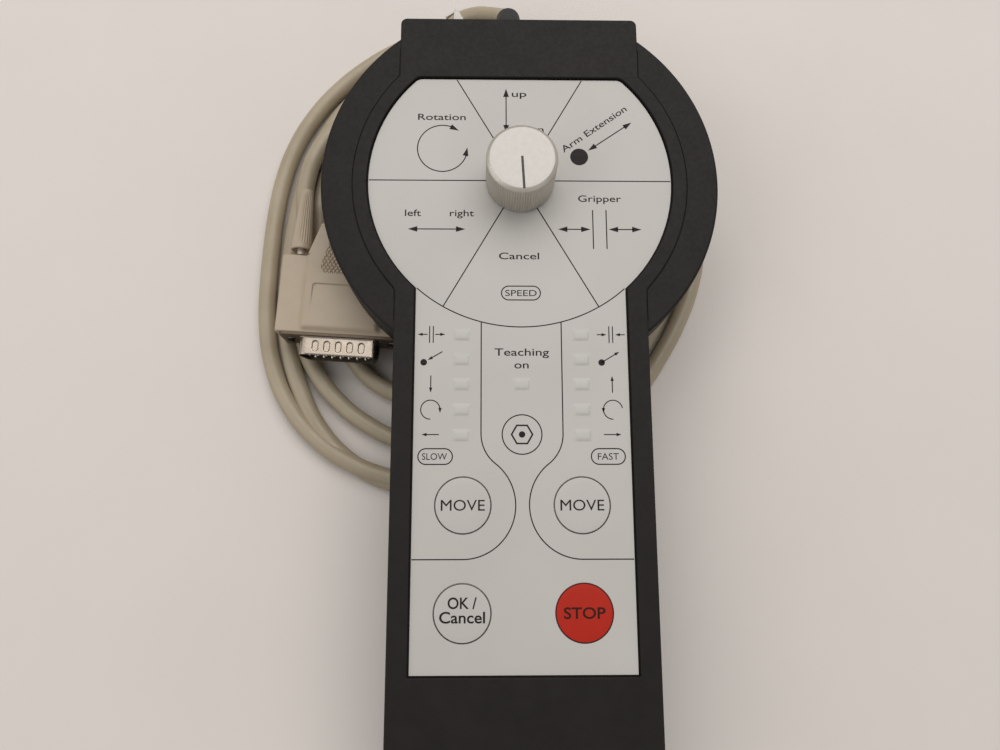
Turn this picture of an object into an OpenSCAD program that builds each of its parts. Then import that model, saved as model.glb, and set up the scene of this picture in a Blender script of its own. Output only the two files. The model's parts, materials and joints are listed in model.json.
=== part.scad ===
// Handheld teach pendant for a small selective-compliance robot arm, lying on its own coiled
// lead, with the 15-way plug of the lead beside it. Millimetres, +Z up, +Y towards the lead.
// The origin is the centre of the pendant's own box, without the lead.

/* [Housing] */
// Length of the housing from its foot to its cable end
body_len = 246.6; // [240:0.2:252]
// Width of the straight handle
handle_w = 76.9; // [76:0.1:77.2]
// Depth of the housing behind the panel sheet
body_depth = 32; // [32:0.5:34]
// Distance from the knob's axis to the cable end
head_end = 56.3; // [55:0.1:57]
// Diameter of the round guard rim at the head
rim_d = 125; // [123:0.5:125.5]
// Depth of the guard rim behind the panel sheet
rim_depth = 16; // [15.5:0.1:16]
// Height of the guard rim's top above the panel sheet
rim_rise = 0.6; // [0.4:0.1:0.7]
// Diameter of the raised round platform
platform_d = 105; // [104:0.5:106]
// Height of the lip round the panel sheet
lip = 1; // [0.8:0.1:1.2]
// Thickness of the side walls
wall = 2.5; // [2.2:0.1:2.6]

/* [Panel] */
// Width of the panel sheet along the handle
panel_w = 64; // [63:0.2:64.4]
// Diameter of the panel sheet at the head
panel_d = 95.2; // [94.6:0.2:95.6]
// Distance from the knob's axis to the panel's flat top edge
panel_top = 34.9; // [34:0.1:35.5]
// Distance from the knob's axis to the panel's foot
panel_foot = 147.5; // [147:0.5:149]
// Radius of the panel's two corners at the top edge
panel_round = 3.2; // [2.8:0.1:3.6]
// Thickness of the panel sheet
panel_t = 0.5; // [0.4:0.1:0.6]

/* [Knob] */
// Diameter of the knob
knob_d = 21.5; // [21:0.1:21.8]
// Height of the knob's top above the panel sheet
knob_h = 16; // [15.5:0.5:16.5]
// Radius of the selector's shaft
shaft_r = 3; // [2.9:0.05:3]

/* [Keys] */
// Radius of a key
key_r = 8.2; // [8:0.1:8.2]
// Distance between the two columns of keys
key_pitch = 34.6; // [34.4:0.2:34.8]
// Travel of a key
key_travel = 0.5; // [0.4:0.1:0.5]

/* [Indicators] */
// Distance between indicator windows in a column
window_pitch = 7.62; // [7.5:0.02:7.7]
// Distance of each column of windows from the middle
window_x = 18; // [17.6:0.1:18.2]
// Width of an indicator window
window_w = 5.2; // [5:0.1:5.2]
// Length of an indicator window along the handle
window_l = 3.5; // [3.4:0.1:3.5]

/* [Lead] */
// Diameter of the cable
cable_d = 6; // [5.8:0.1:6]
// Number of turns in the coil
coil_turns = 3.8; // [3.7:0.05:3.8]

/* [Plug] */
// Width of the plug's hood
hood_w = 41.9; // [41:0.1:42.4]
// Thickness of the plug's hood
hood_t = 15; // [14.6:0.2:15]
// Distance between the two thumbscrews
jack_pitch = 33.32; // [33.3:0.02:33.34]
// How far the plug is turned in plan, in degrees
plug_turn = -3.45; // [-3.8:0.05:-3]

/* [Hidden] */

$fn = 96;
over = 1;                                  // how far a cut runs past the face it opens
black = "#2c2a2b";
beige = "#b9a88c";
grey_beige = "#a39a80";
steel = "#b8b8b4";
pale = "#c9c7bd";

// The head's own frame has its origin on the knob's axis, at the panel sheet's face.
head_y = body_len / 2 - head_end;
face_z = (body_depth + knob_h) / 2 - knob_h;
foot_y = head_end - body_len;
bar_x = handle_w / 2;
rear_x = bar_x - 2.8;                      // the rear shell is narrower than the front one
ledge_t = 0.8;                             // its ledge under the front shell's side walls
top_wall = 3.2;                            // the panel sheet's face to the shell's ceiling
floor_z = -body_depth + wall;
corner_r = 2;
neck_fillet = 3;
hair = 0.02;
sheet_gap = 0.3;                           // between the panel sheet and its recess
tongue = 1.2;                              // how far the rear shell stands up inside the front one

// Circuit board, hung under the front shell
board_top = -13;
board_t = 1.6;
board_w = 62;
board_head_r = 42;
board_end = 30;
board_foot = -142;
post_r = 3;
post_spots = [[-26, -136], [26, -136], [-27, 20], [27, 20]];
close_r = 3.2;                             // bosses for the six housing screws
close_spots = [for (y = [foot_y + 7, -72, head_end - 7], x = [-31.5, 31.5]) [x, y]];

// Keys, and the switches under them
key_move_y = -100.8;
key_low_y = -130.9;
key_gap = 0.15;
stem_r = 3;
stem_end = -7.4;
plunger_top = stem_end - key_travel - 0.1;

// Indicator windows
window_top_y = -49.96;
window_rise = 0.35;
window_gap = 0.1;
teach_y = -65.1;
led_h = 1.2;
guide_end = board_top + led_h + 0.5;

// Selector
bushing_r = 4.7;
bushing_top = 2.2;
selector_r = 11;
selector_top = -top_wall - 0.1;
rotor_r = 7.5;
knob_foot = 0.4;
knob_skin = 1.2;
nut_room_r = 8.4;
nut_room_top = 4.5;

// Where the lead comes out of the housing
exit_x = -3;
exit_z = -rim_depth;
cable_r = cable_d / 2;

// Table plane in the head's frame: the coil fills the gap between it and the housing's back.
table_z = -body_depth - cable_d;
lay_z = table_z + cable_r;

// The coil's turns wind inwards, anticlockwise seen from above, from coil_start degrees. A free
// lying cable isn't round: each row is a harmonic's number, its cosine and its sine part.
coil_at = [-12.7, -10.5];
coil_r = 82.3;
coil_waves = [[2, -4.1, 2.9], [3, 2.2, -0.7], [5, 1.0, 0.6]];
coil_start = 100;
coil_pitch = 6.8;
coil_spread = 4;                           // extra inward drift once two turns are laid

// Route of the lead from the housing to the coil, in the head's frame
lead_route = [
    [-3.65, 71.6, -19.15], [-5.8, 75.6, -22.8], [-10.3, 78.4, -26.8], [-14.8, 79.3, -30.3], [-20, 78.3, -33.2],
    [-27.7, 74.7, -35]
];
relief_route = [
    [-3, head_end + 0.02, -16], [-3, 60, -16.1], [-3.1, 64, -16.6], [-3.3, 68, -17.6], [-3.7, 72, -19.4]
];
relief_radii = [6.5, 6.3, 5.0, 4.5, 3.7];
// Route from the coil's inner end to the plug
tail_route = [
    [25.1, 9.6, -35], [18, 22.5, -35], [7, 33, -35], [-9, 39.5, -35], [-26, 38.5, -35], [-38, 33, -35],
    [-46.5, 25.5, -33.2], [-52, 17.5, -29.4], [-55, 9, -26.2], [-55.9, 2, -24.6], [-56.1, -5.3, -24.5],
    [-56.75, -16.25, -24.5]
];

// Plug, in its own frame: the origin is on the flange's back face at the middle of the mouth,
// +Y runs into the hood and the mouth opens along -Y.
plug_at = [-58.5, -45.2, -body_depth + hood_t / 2];
shoulder_y = 26.4;
shoulder_h = 12.6;
hood_end = 37.5;
flange_t = 0.9;
flange_h = 12.5;
shell_reach = 6;
shell_t = 0.5;
d_top = 26.3;
d_bottom = 23.4;
d_h = 9.4;
d_round = 2.6;
jack_r = 1.42;
jack_hole_r = 1.5;
jack_tip = -2.4;                           // the jackscrews are drawn back
handle_y = 29.75;
pin_pitch = 2.77;
pin_row = 1.42;

module at_head() translate([0, head_y, face_z]) children();

module at_plug() at_head() translate(plug_at) rotate([0, 0, plug_turn]) children();

module up_to(z0, z1) translate([0, 0, z0]) linear_extrude(z1 - z0) children();

module post(x, y, r, z0, z1) translate([x, y, z0]) cylinder(r = r, h = z1 - z0);

module block(x0, x1, y0, y1, z0, z1) translate([x0, y0, z0]) cube([x1 - x0, y1 - y0, z1 - z0]);

module along_y(x, z, r, y0, y1) translate([x, y0, z]) rotate([-90, 0, 0]) cylinder(r = r, h = y1 - y0);

// A straight round bar from a to b
module rod(a, b, r) {
    d = b - a;
    translate(a)
        rotate([0, acos(d[2] / norm(d)), atan2(d[1], d[0])])
            cylinder(r = r, h = norm(d), $fn = 24);
}

// A rectangle from y0 to y1 with its four corners rounded by arcs
module bar_2d(half, y0, y1, r) {
    translate([-half, y0 + r]) square([2 * half, y1 - y0 - 2 * r]);
    translate([-half + r, y0]) square([2 * (half - r), y1 - y0]);
    for (x = [-half + r, half - r], y = [y0 + r, y1 - r]) translate([x, y]) circle(r);
}

// A disc about the knob's axis, cut off level with the housing's end
module head_2d(r, end) intersection() {
    circle(r);
    translate([-r, -r]) square([2 * r, r + end]);
}

// Concave arcs where the disc of radius r meets the straight sides at x = half. Each arc crosses
// its neighbours by a hair, as arcs that only touch leave a sliver of a face.
module neck_2d(half, r, f) {
    far = r + f - hair;
    cx = half + f - hair;
    cy = sqrt(far * far - cx * cx);
    k = (r - 0.3) / far;
    for (side = [0, 1]) mirror([side, 0]) difference() {
        polygon([[half - 0.5, -cy + 1.5], [half - 0.5, -cy], [cx, -cy], [cx * k, -cy * k]]);
        translate([cx, -cy]) circle(f);
    }
}

// Outline of the handle with a round head of radius r
module housing_2d(half, r, end, inset) {
    bar_2d(half - inset, foot_y + inset, end - inset, corner_r);
    head_2d(r - inset, end - inset);
}

// Outline of the panel sheet. The corner arcs cross the head's arc by a hair.
module panel_2d(gap) {
    r = panel_d / 2 + gap;
    top = panel_top + gap;
    cy = top - panel_round;
    cx = sqrt(pow(r - panel_round + hair, 2) - cy * cy);
    translate([-panel_w / 2 - gap, -panel_foot - gap]) square([panel_w + 2 * gap, panel_foot + gap + cy]);
    translate([-cx, 0]) square([2 * cx, top]);
    for (x = [-cx, cx]) translate([x, cy]) circle(panel_round);
    intersection() {
        circle(r);
        translate([-r, -r]) square([2 * r, r + cy * r / (r - panel_round)]);
    }
}

module window_2d(gap) square([window_w + 2 * gap, window_l + 2 * gap], center = true);

function column(side) = [for (i = [0:4]) [side * window_x, window_top_y - i * window_pitch]];
window_spots = concat(column(-1), column(1), [[0, teach_y]]);
key_spots = [
    [-key_pitch / 2, key_move_y], [key_pitch / 2, key_move_y], [-key_pitch / 2, key_low_y],
    [key_pitch / 2, key_low_y]
];

// ---- Housing ----

module front_shell() color(black) at_head() difference() {
    union() {
        difference() {
            union() {
                up_to(-rim_depth, rim_rise) housing_2d(bar_x, rim_d / 2, head_end, 0);
                up_to(-top_wall, lip) {
                    housing_2d(bar_x, platform_d / 2, head_end, 0);
                    neck_2d(bar_x, platform_d / 2, neck_fillet);
                }
            }
            up_to(-rim_depth - over, -top_wall) housing_2d(bar_x, rim_d / 2, head_end, wall);
        }
        for (p = post_spots) post(p[0], p[1], post_r, board_top, -top_wall + 0.5);
        for (p = close_spots) post(p[0], p[1], close_r, -rim_depth, -top_wall + 0.5);
    }
    up_to(-panel_t, lip + over) panel_2d(sheet_gap);
    post(0, 0, bushing_r + 0.1, -top_wall - over, 0);
    for (p = key_spots) {
        post(p[0], p[1], key_r + 0.3, -panel_t - key_travel - 0.4, 0);
        post(p[0], p[1], stem_r + 0.1, -top_wall - over, 0);
    }
    for (p = window_spots) translate([p[0], p[1], 0]) up_to(-top_wall - over, 0) window_2d(window_gap);
    for (p = post_spots) post(p[0], p[1], 1.25, board_top - over, -top_wall - 1.5);
    for (p = close_spots) post(p[0], p[1], 1.52, -rim_depth - over, -7.5);
    along_y(exit_x, exit_z, 5.2, head_end - wall - over, head_end + over);
}

module rear_shell() color(black) at_head() difference() {
    union() {
        difference() {
            union() {
                up_to(-body_depth, -rim_depth) bar_2d(rear_x, foot_y, head_end, corner_r);
                up_to(-rim_depth - ledge_t, -rim_depth) bar_2d(bar_x - 0.3, foot_y + 0.3, head_end - 0.3, corner_r);
                up_to(-rim_depth, -rim_depth + tongue) head_2d(rim_d / 2 - wall - 0.3, head_end - wall - 0.3);
            }
            up_to(floor_z, -rim_depth + tongue + over)
                bar_2d(rear_x - wall, foot_y + wall, head_end - wall, corner_r);
        }
        for (p = close_spots) post(p[0], p[1], close_r, floor_z - 0.5, -rim_depth);
        for (x = [-8.5, 8.5]) post(exit_x + x, 41, 2.8, floor_z - 0.5, exit_z + cable_r);
        block(exit_x - 4, exit_x + 4, 39, 43, floor_z - 0.5, exit_z - cable_r);
    }
    for (p = close_spots) {
        post(p[0], p[1], 3.1, -body_depth - over, -body_depth + 4.5);
        post(p[0], p[1], 1.7, -body_depth, -rim_depth + over);
    }
    for (x = [-8.5, 8.5]) post(exit_x + x, 41, 1.05, exit_z - 6, exit_z + cable_r + over);
    along_y(exit_x, exit_z, 5.2, head_end - wall - over, head_end + over);
}

module panel_sheet() color(pale) at_head() difference() {
    up_to(-panel_t, 0) panel_2d(0);
    post(0, 0, 7.8, -panel_t - over, over);
    for (p = key_spots) post(p[0], p[1], key_r + key_gap, -panel_t - over, over);
    for (p = window_spots) translate([p[0], p[1], 0]) up_to(-panel_t - over, over) window_2d(window_gap);
}

module housing_screws() color(steel) at_head() for (p = close_spots) difference() {
    union() {
        post(p[0], p[1], 2.75, -body_depth + 2.2, -body_depth + 4.5);
        post(p[0], p[1], 1.5, -body_depth + 4.4, -8);
    }
    translate([p[0], p[1], -body_depth + 2.2 - over]) for (a = [0, 90])
        rotate([0, 0, a]) translate([-1.6, -0.4, 0]) cube([3.2, 0.8, over + 1.2]);
}

// ---- Keys ----

// A round key on its stem, with a slightly chamfered top edge
module key_cap(x, y, shade) color(shade) at_head() translate([x, y, 0]) {
    rotate_extrude() polygon([[0, stem_end], [stem_r, stem_end], [stem_r, -panel_t], [key_r, -panel_t],
        [key_r, 0.05], [key_r - 0.2, 0.25], [0, 0.25]]);
}

module key_move_left() key_cap(-key_pitch / 2, key_move_y, pale);

module key_move_right() key_cap(key_pitch / 2, key_move_y, pale);

module key_confirm() key_cap(-key_pitch / 2, key_low_y, pale);

module key_stop() key_cap(key_pitch / 2, key_low_y, "#cd2d1e");

// ---- Indicators ----

// A raised translucent window on its light guide
module window(x, y) color("#d8d6cc", 0.8) at_head() translate([x, y, 0]) {
    up_to(-top_wall, window_rise) window_2d(0);
    up_to(guide_end, -top_wall) square([window_w - 0.8, window_l - 0.8], center = true);
}

module speed_windows_left() for (p = column(-1)) window(p[0], p[1]);

module speed_windows_right() for (p = column(1)) window(p[0], p[1]);

module teach_window() window(0, teach_y);

module indicator_leds() color("#e8e2c8") at_head() for (p = window_spots)
    block(p[0] - 1.6, p[0] + 1.6, p[1] - 0.8, p[1] + 0.8, board_top, board_top + led_h);

// ---- Electronics ----

module circuit_board() color("#1d5a38") at_head() difference() {
    up_to(board_top - board_t, board_top) intersection() {
        union() {
            bar_2d(board_w / 2, board_foot, board_end, 1.5);
            circle(board_head_r);
        }
        translate([-60, board_foot - over]) square([120, board_end - board_foot + over]);
    }
    for (p = post_spots) post(p[0], p[1], 1.4, board_top - board_t - over, board_top + over);
    for (p = close_spots) post(p[0], p[1], close_r + 1, board_top - board_t - over, board_top + over);
    for (a = [0:45:315]) rotate([0, 0, a]) post(9, 0, 0.55, board_top - board_t - over, board_top + over);
}

module board_screws() color(steel) at_head() for (p = post_spots) {
    post(p[0], p[1], 2.4, board_top - board_t - 1.6, board_top - board_t);
    post(p[0], p[1], 1.2, board_top - board_t, board_top + 6);
}

module board_chips() color("#26262a") at_head() {
    under = board_top - board_t;
    block(-7, 7, -97, -83, under - 2.2, under);
    block(-15, -5, -62, -56, under - 1.8, under);
    block(5, 15, -62, -56, under - 1.8, under);
    block(-4, 4, -30, -24, under - 1.6, under);
    block(-5.5, 5.5, -77, -73, under - 3.4, under);
}

module board_capacitors() color("#3a3f5a") at_head() for (x = [-22, 0, 22])
    post(x, -115, 3.1, board_top - board_t - 7, board_top - board_t);

module key_switches() color("#3a3a3c") at_head() for (p = key_spots) {
    block(p[0] - 3, p[0] + 3, p[1] - 3, p[1] + 3, board_top, board_top + 3.5);
    post(p[0], p[1], 1.75, board_top + 3.5, plunger_top);
}

module board_header() color("#d9d3bd") at_head()
    block(exit_x - 10, exit_x + 10, 20, 26, board_top - board_t - 6, board_top - board_t);

// Cores fan out from the end of the sheath to the header
module core_wires() for (i = [-3:3]) color(i % 2 == 0 ? "#8a2f2a" : "#2f4f8a") at_head()
    rod([exit_x + 0.65 * i, 35.8, exit_z], [exit_x + 2.6 * i, 26.2, exit_z - 2], 0.3);

module sheathed_end() color(grey_beige) at_head() along_y(exit_x, exit_z, cable_r, 36, head_end - wall - 2.2);

module cable_clamp() color(steel) at_head() difference() {
    block(exit_x - 12, exit_x + 12, 38, 44, exit_z + cable_r, exit_z + cable_r + 1.5);
    for (x = [-8.5, 8.5]) post(exit_x + x, 41, 1.3, exit_z, 0);
}

module clamp_screws() color(steel) at_head() for (x = [-8.5, 8.5]) {
    post(exit_x + x, 41, 2.2, exit_z + cable_r + 1.5, exit_z + cable_r + 3);
    post(exit_x + x, 41, 1, exit_z - 5, exit_z + cable_r + 1.5);
}

// ---- Selector ----

module selector_body() color("#35435c") at_head() difference() {
    post(0, 0, selector_r, board_top, selector_top);
    post(0, 0, rotor_r + 0.4, board_top + 1, selector_top - 1.2);
    post(0, 0, bushing_r, selector_top - 1.2 - over, over);
}

module selector_bushing() color(steel) at_head() difference() {
    post(0, 0, bushing_r, selector_top - 1.2, bushing_top);
    post(0, 0, shaft_r + 0.05, selector_top - 1.2 - over, bushing_top + over);
}

module selector_washer() color(steel) at_head() difference() {
    post(0, 0, 7.4, -panel_t, 0);
    post(0, 0, bushing_r + 0.05, -panel_t - over, over);
}

module selector_nut() color(steel) at_head() difference() {
    rotate([0, 0, 30]) cylinder(r = 6.9, h = 2, $fn = 6);
    post(0, 0, bushing_r + 0.05, -over, 2 + over);
}

module selector_terminals() color(steel) at_head() for (a = [0:45:315])
    rotate([0, 0, a]) post(9, 0, 0.5, board_top - board_t - 1.4, board_top);

module selector_rotor() color("#c9b98c") at_head() difference() {
    post(0, 0, rotor_r, board_top + 1.5, selector_top - 1.6);
    post(0, 0, shaft_r, board_top + 1, selector_top);
}

module selector_shaft() color(steel) at_head() difference() {
    post(0, 0, shaft_r, board_top + 1.6, 12);
    block(-shaft_r - over, shaft_r + over, shaft_r - 0.9, shaft_r + over, 5, 12 + over);
}

module knob_shell() color("#d2d2d0") at_head() difference() {
    rotate_extrude() polygon([[0, knob_foot], [knob_d / 2, knob_foot], [knob_d / 2, knob_h - 1.5],
        [knob_d / 2 - 1.1, knob_h], [0, knob_h]]);
    post(0, 0, knob_d / 2 - knob_skin, knob_foot - over, knob_h - 1.5);
    pointer_cut(0);
    grub_hole(1.6);
}

// The pointer's channel runs from the middle of the top to the rim on the -Y side.
module pointer_cut(gap) rotate([0, 0, 3])
    block(-0.45 - gap, 0.45 + gap, -knob_d / 2 - over, 0.2, knob_h - 0.5, knob_h + over);

module grub_hole(r) translate([0, 0, 9]) rotate([-90, 0, 0]) cylinder(r = r, h = knob_d);

module knob_core() color("#303032") at_head() difference() {
    post(0, 0, knob_d / 2 - knob_skin, knob_foot + 0.2, knob_h - 1.5);
    post(0, 0, nut_room_r, 0, nut_room_top);
    post(0, 0, shaft_r, 0, 12.2);
    grub_hole(1.5);
}

module knob_pointer() color("#151515") at_head() rotate([0, 0, 3])
    block(-0.45, 0.45, -knob_d / 2 + 0.8, 0.2, knob_h - 0.5, knob_h - 0.05);

module knob_grub_screw() color(steel) at_head() difference() {
    translate([0, shaft_r - 0.9, 9]) rotate([-90, 0, 0]) cylinder(r = 1.5, h = 5.5);
    translate([0, shaft_r + 3, 9]) rotate([-90, 0, 0]) cylinder(r = 0.75, h = 4, $fn = 6);
}

// ---- Lead ----

function coil_point_r(t) = let (a = coil_start + 360 * t)
    coil_r - coil_pitch * t - coil_spread * pow(max(0, t - 2), 2)
    + [for (w = coil_waves) w[1] * cos(w[0] * a) + w[2] * sin(w[0] * a)] * [1, 1, 1];

function coil_point(t, side) = let (a = coil_start + 360 * t, r = coil_point_r(t) + side)
    [coil_at[0] + r * cos(a), coil_at[1] + r * sin(a)];

// A smooth line through the route's points, with a few points between each two
function spline(p, steps) = [
    for (i = [0 : len(p) - 2], k = [0 : steps - 1])
        let (a = p[max(0, i - 1)], b = p[i], c = p[i + 1], d = p[min(len(p) - 1, i + 2)], t = k / steps)
        0.5 * (2 * b + t * (c - a) + t * t * (2 * a - 5 * b + 4 * c - d) + t * t * t * (3 * b - a - 3 * c + d)),
    p[len(p) - 1]
];

function blend_radii(r, steps) = [
    for (i = [0 : len(r) - 2], k = [0 : steps - 1]) r[i] + (r[i + 1] - r[i]) * k / steps, r[len(r) - 1]
];

function unit(v) = v / norm(v);

// One closed tube along a line, with its own radius at each ring
module tube(line, radii, sides) {
    n = len(line);
    rings = [for (i = [0 : n - 1])
        let (d = unit(line[min(n - 1, i + 1)] - line[max(0, i - 1)]), u = unit(cross(d, [0, 0, 1])), v = cross(u, d))
        for (k = [0 : sides - 1]) line[i] + radii[i] * (cos(360 * k / sides) * u + sin(360 * k / sides) * v)];
    faces = concat(
        [[for (k = [sides - 1 : -1 : 0]) k]],
        [[for (k = [0 : sides - 1]) (n - 1) * sides + k]],
        [for (i = [0 : n - 2], k = [0 : sides - 1])
            [i * sides + k, i * sides + (k + 1) % sides, (i + 1) * sides + (k + 1) % sides, (i + 1) * sides + k]]
    );
    polyhedron(rings, faces, convexity = 6);
}

module strain_relief() color("#1f1e1f") at_head() {
    along_y(exit_x, exit_z, 7, head_end - wall - 2.2, head_end - wall - 0.1);
    along_y(exit_x, exit_z, 5.1, head_end - wall - 0.2, head_end + 0.1);
    tube(spline(relief_route, 3), blend_radii(relief_radii, 3), 12);
}

module cable_lead() color(grey_beige) at_head() {
    line = spline(lead_route, 3);
    tube(line, [for (p = line) cable_r], 12);
}

module cable_tail() color(grey_beige) at_head() {
    line = spline(tail_route, 3);
    tube(line, [for (p = line) cable_r], 12);
}

// Outer shape of the wound turns: one turn's outside and the last turn's inside bound it.
module cable_coil() color(grey_beige) at_head() {
    steps = 72;
    up_to(table_z, -body_depth) difference() {
        polygon([for (i = [0 : steps]) coil_point(i / steps, cable_r)]);
        polygon([for (i = [0 : steps]) coil_point(coil_turns - 1 + i / steps, -cable_r)]);
    }
}

// A strap laid over the two outer turns, with its head on the outside
module cable_tie() color("#e6e2d6") at_head() {
    a = coil_start + 2.2;
    r = coil_point_r(2.2 / 360);
    translate([coil_at[0], coil_at[1], 0]) rotate([0, 0, a]) {
        block(r - 12, r + cable_r + 0.9, -2.2, 2.2, -body_depth, -body_depth + 0.7);
        block(r + cable_r + 0.3, r + cable_r + 0.9, -2.2, 2.2, table_z + 0.2, -body_depth + 0.1);
        block(r + cable_r + 0.8, r + cable_r + 4, -2.2, 2.2, -body_depth - 3.6, -body_depth + 0.4);
    }
}

// ---- Plug ----

// The D-shaped outline of the shell, its wide side up
module d_2d(inset) hull() for (x = [-1, 1]) {
    translate([x * (d_top / 2 - d_round), d_h / 2 - d_round]) circle(d_round - inset, $fn = 32);
    translate([x * (d_bottom / 2 - d_round), -d_h / 2 + d_round]) circle(d_round - inset, $fn = 32);
}

module mouth(y0, y1) translate([0, y1, 0]) rotate([90, 0, 0]) linear_extrude(y1 - y0) children();

// Outside of the hood as seen from above: a raised middle between two low shoulders
module hood_middle_2d() polygon([
    [-12.6, 0], [-12.7, shoulder_y], [-8.9, hood_end], [8.9, hood_end], [12.7, shoulder_y], [12.6, 0]
]);

module hood_solid() {
    block(-hood_w / 2, hood_w / 2, 0, shoulder_y, -shoulder_h / 2, shoulder_h / 2);
    up_to(-hood_t / 2, hood_t / 2) hood_middle_2d();
}

module hood_room() {
    block(-13.4, 13.4, -over, 16, -5.2, 5.2);
    up_to(-4.6, 4.6) polygon([[-7.4, 15], [-7.4, 26], [-cable_r - 0.2, 34], [cable_r + 0.2, 34], [7.4, 26], [7.4, 15]]);
    along_y(0, 0, cable_r + 0.05, 33, hood_end + over);
    for (s = [-1, 1]) {
        along_y(s * jack_pitch / 2, 0, jack_hole_r, -over, shoulder_y + over);
        along_y(s * jack_pitch / 2, 0, 2.5, 8, 14);
    }
    for (s = [-1, 1]) {
        post(s * 10.6, 21, 1.1, -hood_t, 4.6);
        post(s * 10.6, 21, 2, -hood_t, -4);
    }
}

module hood_upper() color(beige) at_plug() difference() {
    intersection() {
        hood_solid();
        block(-30, 30, -10, 60, 0, 20);
    }
    hood_room();
}

module hood_lower() color(beige) at_plug() difference() {
    intersection() {
        hood_solid();
        block(-30, 30, -10, 60, -20, 0);
    }
    hood_room();
}

module hood_screws() color(steel) at_plug() for (s = [-1, 1]) {
    post(s * 10.6, 21, 1, -4, 4.2);
    post(s * 10.6, 21, 1.9, -5.6, -4);
}

module plug_shell() color(steel) at_plug() difference() {
    union() {
        block(-39.14 / 2, 39.14 / 2, -flange_t, 0, -flange_h / 2, flange_h / 2);
        mouth(-flange_t - shell_reach, 0) d_2d(0);
    }
    mouth(-flange_t - shell_reach - over, over) d_2d(shell_t);
    for (s = [-1, 1]) along_y(s * jack_pitch / 2, 0, jack_hole_r, -flange_t - over, over);
}

module plug_insulator() color("#17181a") at_plug() difference() {
    union() {
        mouth(-flange_t - 0.4, 0) d_2d(shell_t + 0.05);
        block(-12.6, 12.6, 0, 6, -4.6, 4.6);
    }
    for (p = contact_spots) along_y(p[0], p[1], 0.51, -5, 7);
}

contact_spots = concat(
    [for (i = [0:7]) [(i - 3.5) * pin_pitch, pin_row]],
    [for (i = [0:6]) [(i - 3) * pin_pitch, -pin_row]]
);

module plug_contacts() color("#cdb56a") at_plug() for (p = contact_spots)
    along_y(p[0], p[1], 0.5, -flange_t - shell_reach + 0.9, 8);

module plug_cord_clamp() color(steel) at_plug() difference() {
    block(-4.4, 4.4, 27, 31, -4.3, 4.3);
    along_y(0, 0, cable_r + 0.02, 26, 32);
}

// The turned handle narrows towards its free end.
module thumbscrew_head(s) color(beige) at_plug()
    translate([s * jack_pitch / 2, handle_y, 0]) rotate([-90, 0, 0]) rotate_extrude()
        polygon([[0, 0], [3.2, 0], [3.45, 0.3], [3.4, 1.6], [2.05, 21.5], [1.6, 22], [0, 22]]);

// Threaded end, then a thinner neck with the collar that keeps the screw in the hood
module thumbscrew_shank(s) color(steel) at_plug() {
    along_y(s * jack_pitch / 2, 0, jack_r, jack_tip, -flange_t - 0.1);
    along_y(s * jack_pitch / 2, 0, jack_r - 0.22, -flange_t - 0.1, handle_y);
    along_y(s * jack_pitch / 2, 0, 2.3, 10, 11.2);
}

module thumbscrew_left() thumbscrew_head(-1);

module thumbscrew_right() thumbscrew_head(1);

module thumbscrew_shank_left() thumbscrew_shank(-1);

module thumbscrew_shank_right() thumbscrew_shank(1);

front_shell();
rear_shell();
panel_sheet();
housing_screws();
key_move_left();
key_move_right();
key_confirm();
key_stop();
speed_windows_left();
speed_windows_right();
teach_window();
circuit_board();
board_screws();
board_chips();
board_capacitors();
indicator_leds();
key_switches();
board_header();
core_wires();
sheathed_end();
cable_clamp();
clamp_screws();
selector_body();
selector_bushing();
selector_washer();
selector_nut();
selector_terminals();
selector_shaft();
selector_rotor();
knob_shell();
knob_core();
knob_pointer();
knob_grub_screw();
strain_relief();
cable_lead();
cable_coil();
cable_tail();
cable_tie();
hood_upper();
hood_lower();
hood_screws();
plug_shell();
plug_insulator();
plug_contacts();
plug_cord_clamp();
thumbscrew_left();
thumbscrew_right();
thumbscrew_shank_left();
thumbscrew_shank_right();
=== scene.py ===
"""Looks of a small robot arm's teach pendant, lying on its own coiled lead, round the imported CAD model."""

import json
from math import acos, atan2, ceil, copysign, cos, degrees, dist, hypot, pi, radians, sin, sqrt

import bmesh
import bpy
from mathutils import Matrix, Vector


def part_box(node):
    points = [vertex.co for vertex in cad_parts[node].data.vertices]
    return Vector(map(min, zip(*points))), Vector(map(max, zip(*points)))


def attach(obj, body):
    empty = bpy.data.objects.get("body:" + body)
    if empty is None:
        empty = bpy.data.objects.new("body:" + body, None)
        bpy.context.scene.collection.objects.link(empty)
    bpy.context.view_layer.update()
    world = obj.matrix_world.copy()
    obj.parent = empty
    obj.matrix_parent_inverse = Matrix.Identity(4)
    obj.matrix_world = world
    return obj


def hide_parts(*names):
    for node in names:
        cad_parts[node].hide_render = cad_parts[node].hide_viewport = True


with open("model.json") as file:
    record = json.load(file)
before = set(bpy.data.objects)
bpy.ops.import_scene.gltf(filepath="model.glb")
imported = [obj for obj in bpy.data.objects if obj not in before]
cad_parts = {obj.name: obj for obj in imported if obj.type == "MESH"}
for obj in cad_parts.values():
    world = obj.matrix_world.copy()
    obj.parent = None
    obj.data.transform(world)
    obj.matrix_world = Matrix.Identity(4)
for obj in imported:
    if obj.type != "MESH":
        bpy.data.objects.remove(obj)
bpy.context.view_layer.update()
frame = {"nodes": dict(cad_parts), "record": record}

MM = 0.001
scene = bpy.context.scene

# ---- Places, from the frame ----

knob_lo, knob_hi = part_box("knob_shell")
panel_lo, panel_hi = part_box("panel_sheet")
front_lo, front_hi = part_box("front_shell")
coil_lo, coil_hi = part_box("cable_coil")

# The head's own frame: its origin is on the knob's axis at the panel sheet's face.
HEAD = Vector(((knob_lo.x + knob_hi.x) / 2, (knob_lo.y + knob_hi.y) / 2, panel_hi.z))


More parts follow.
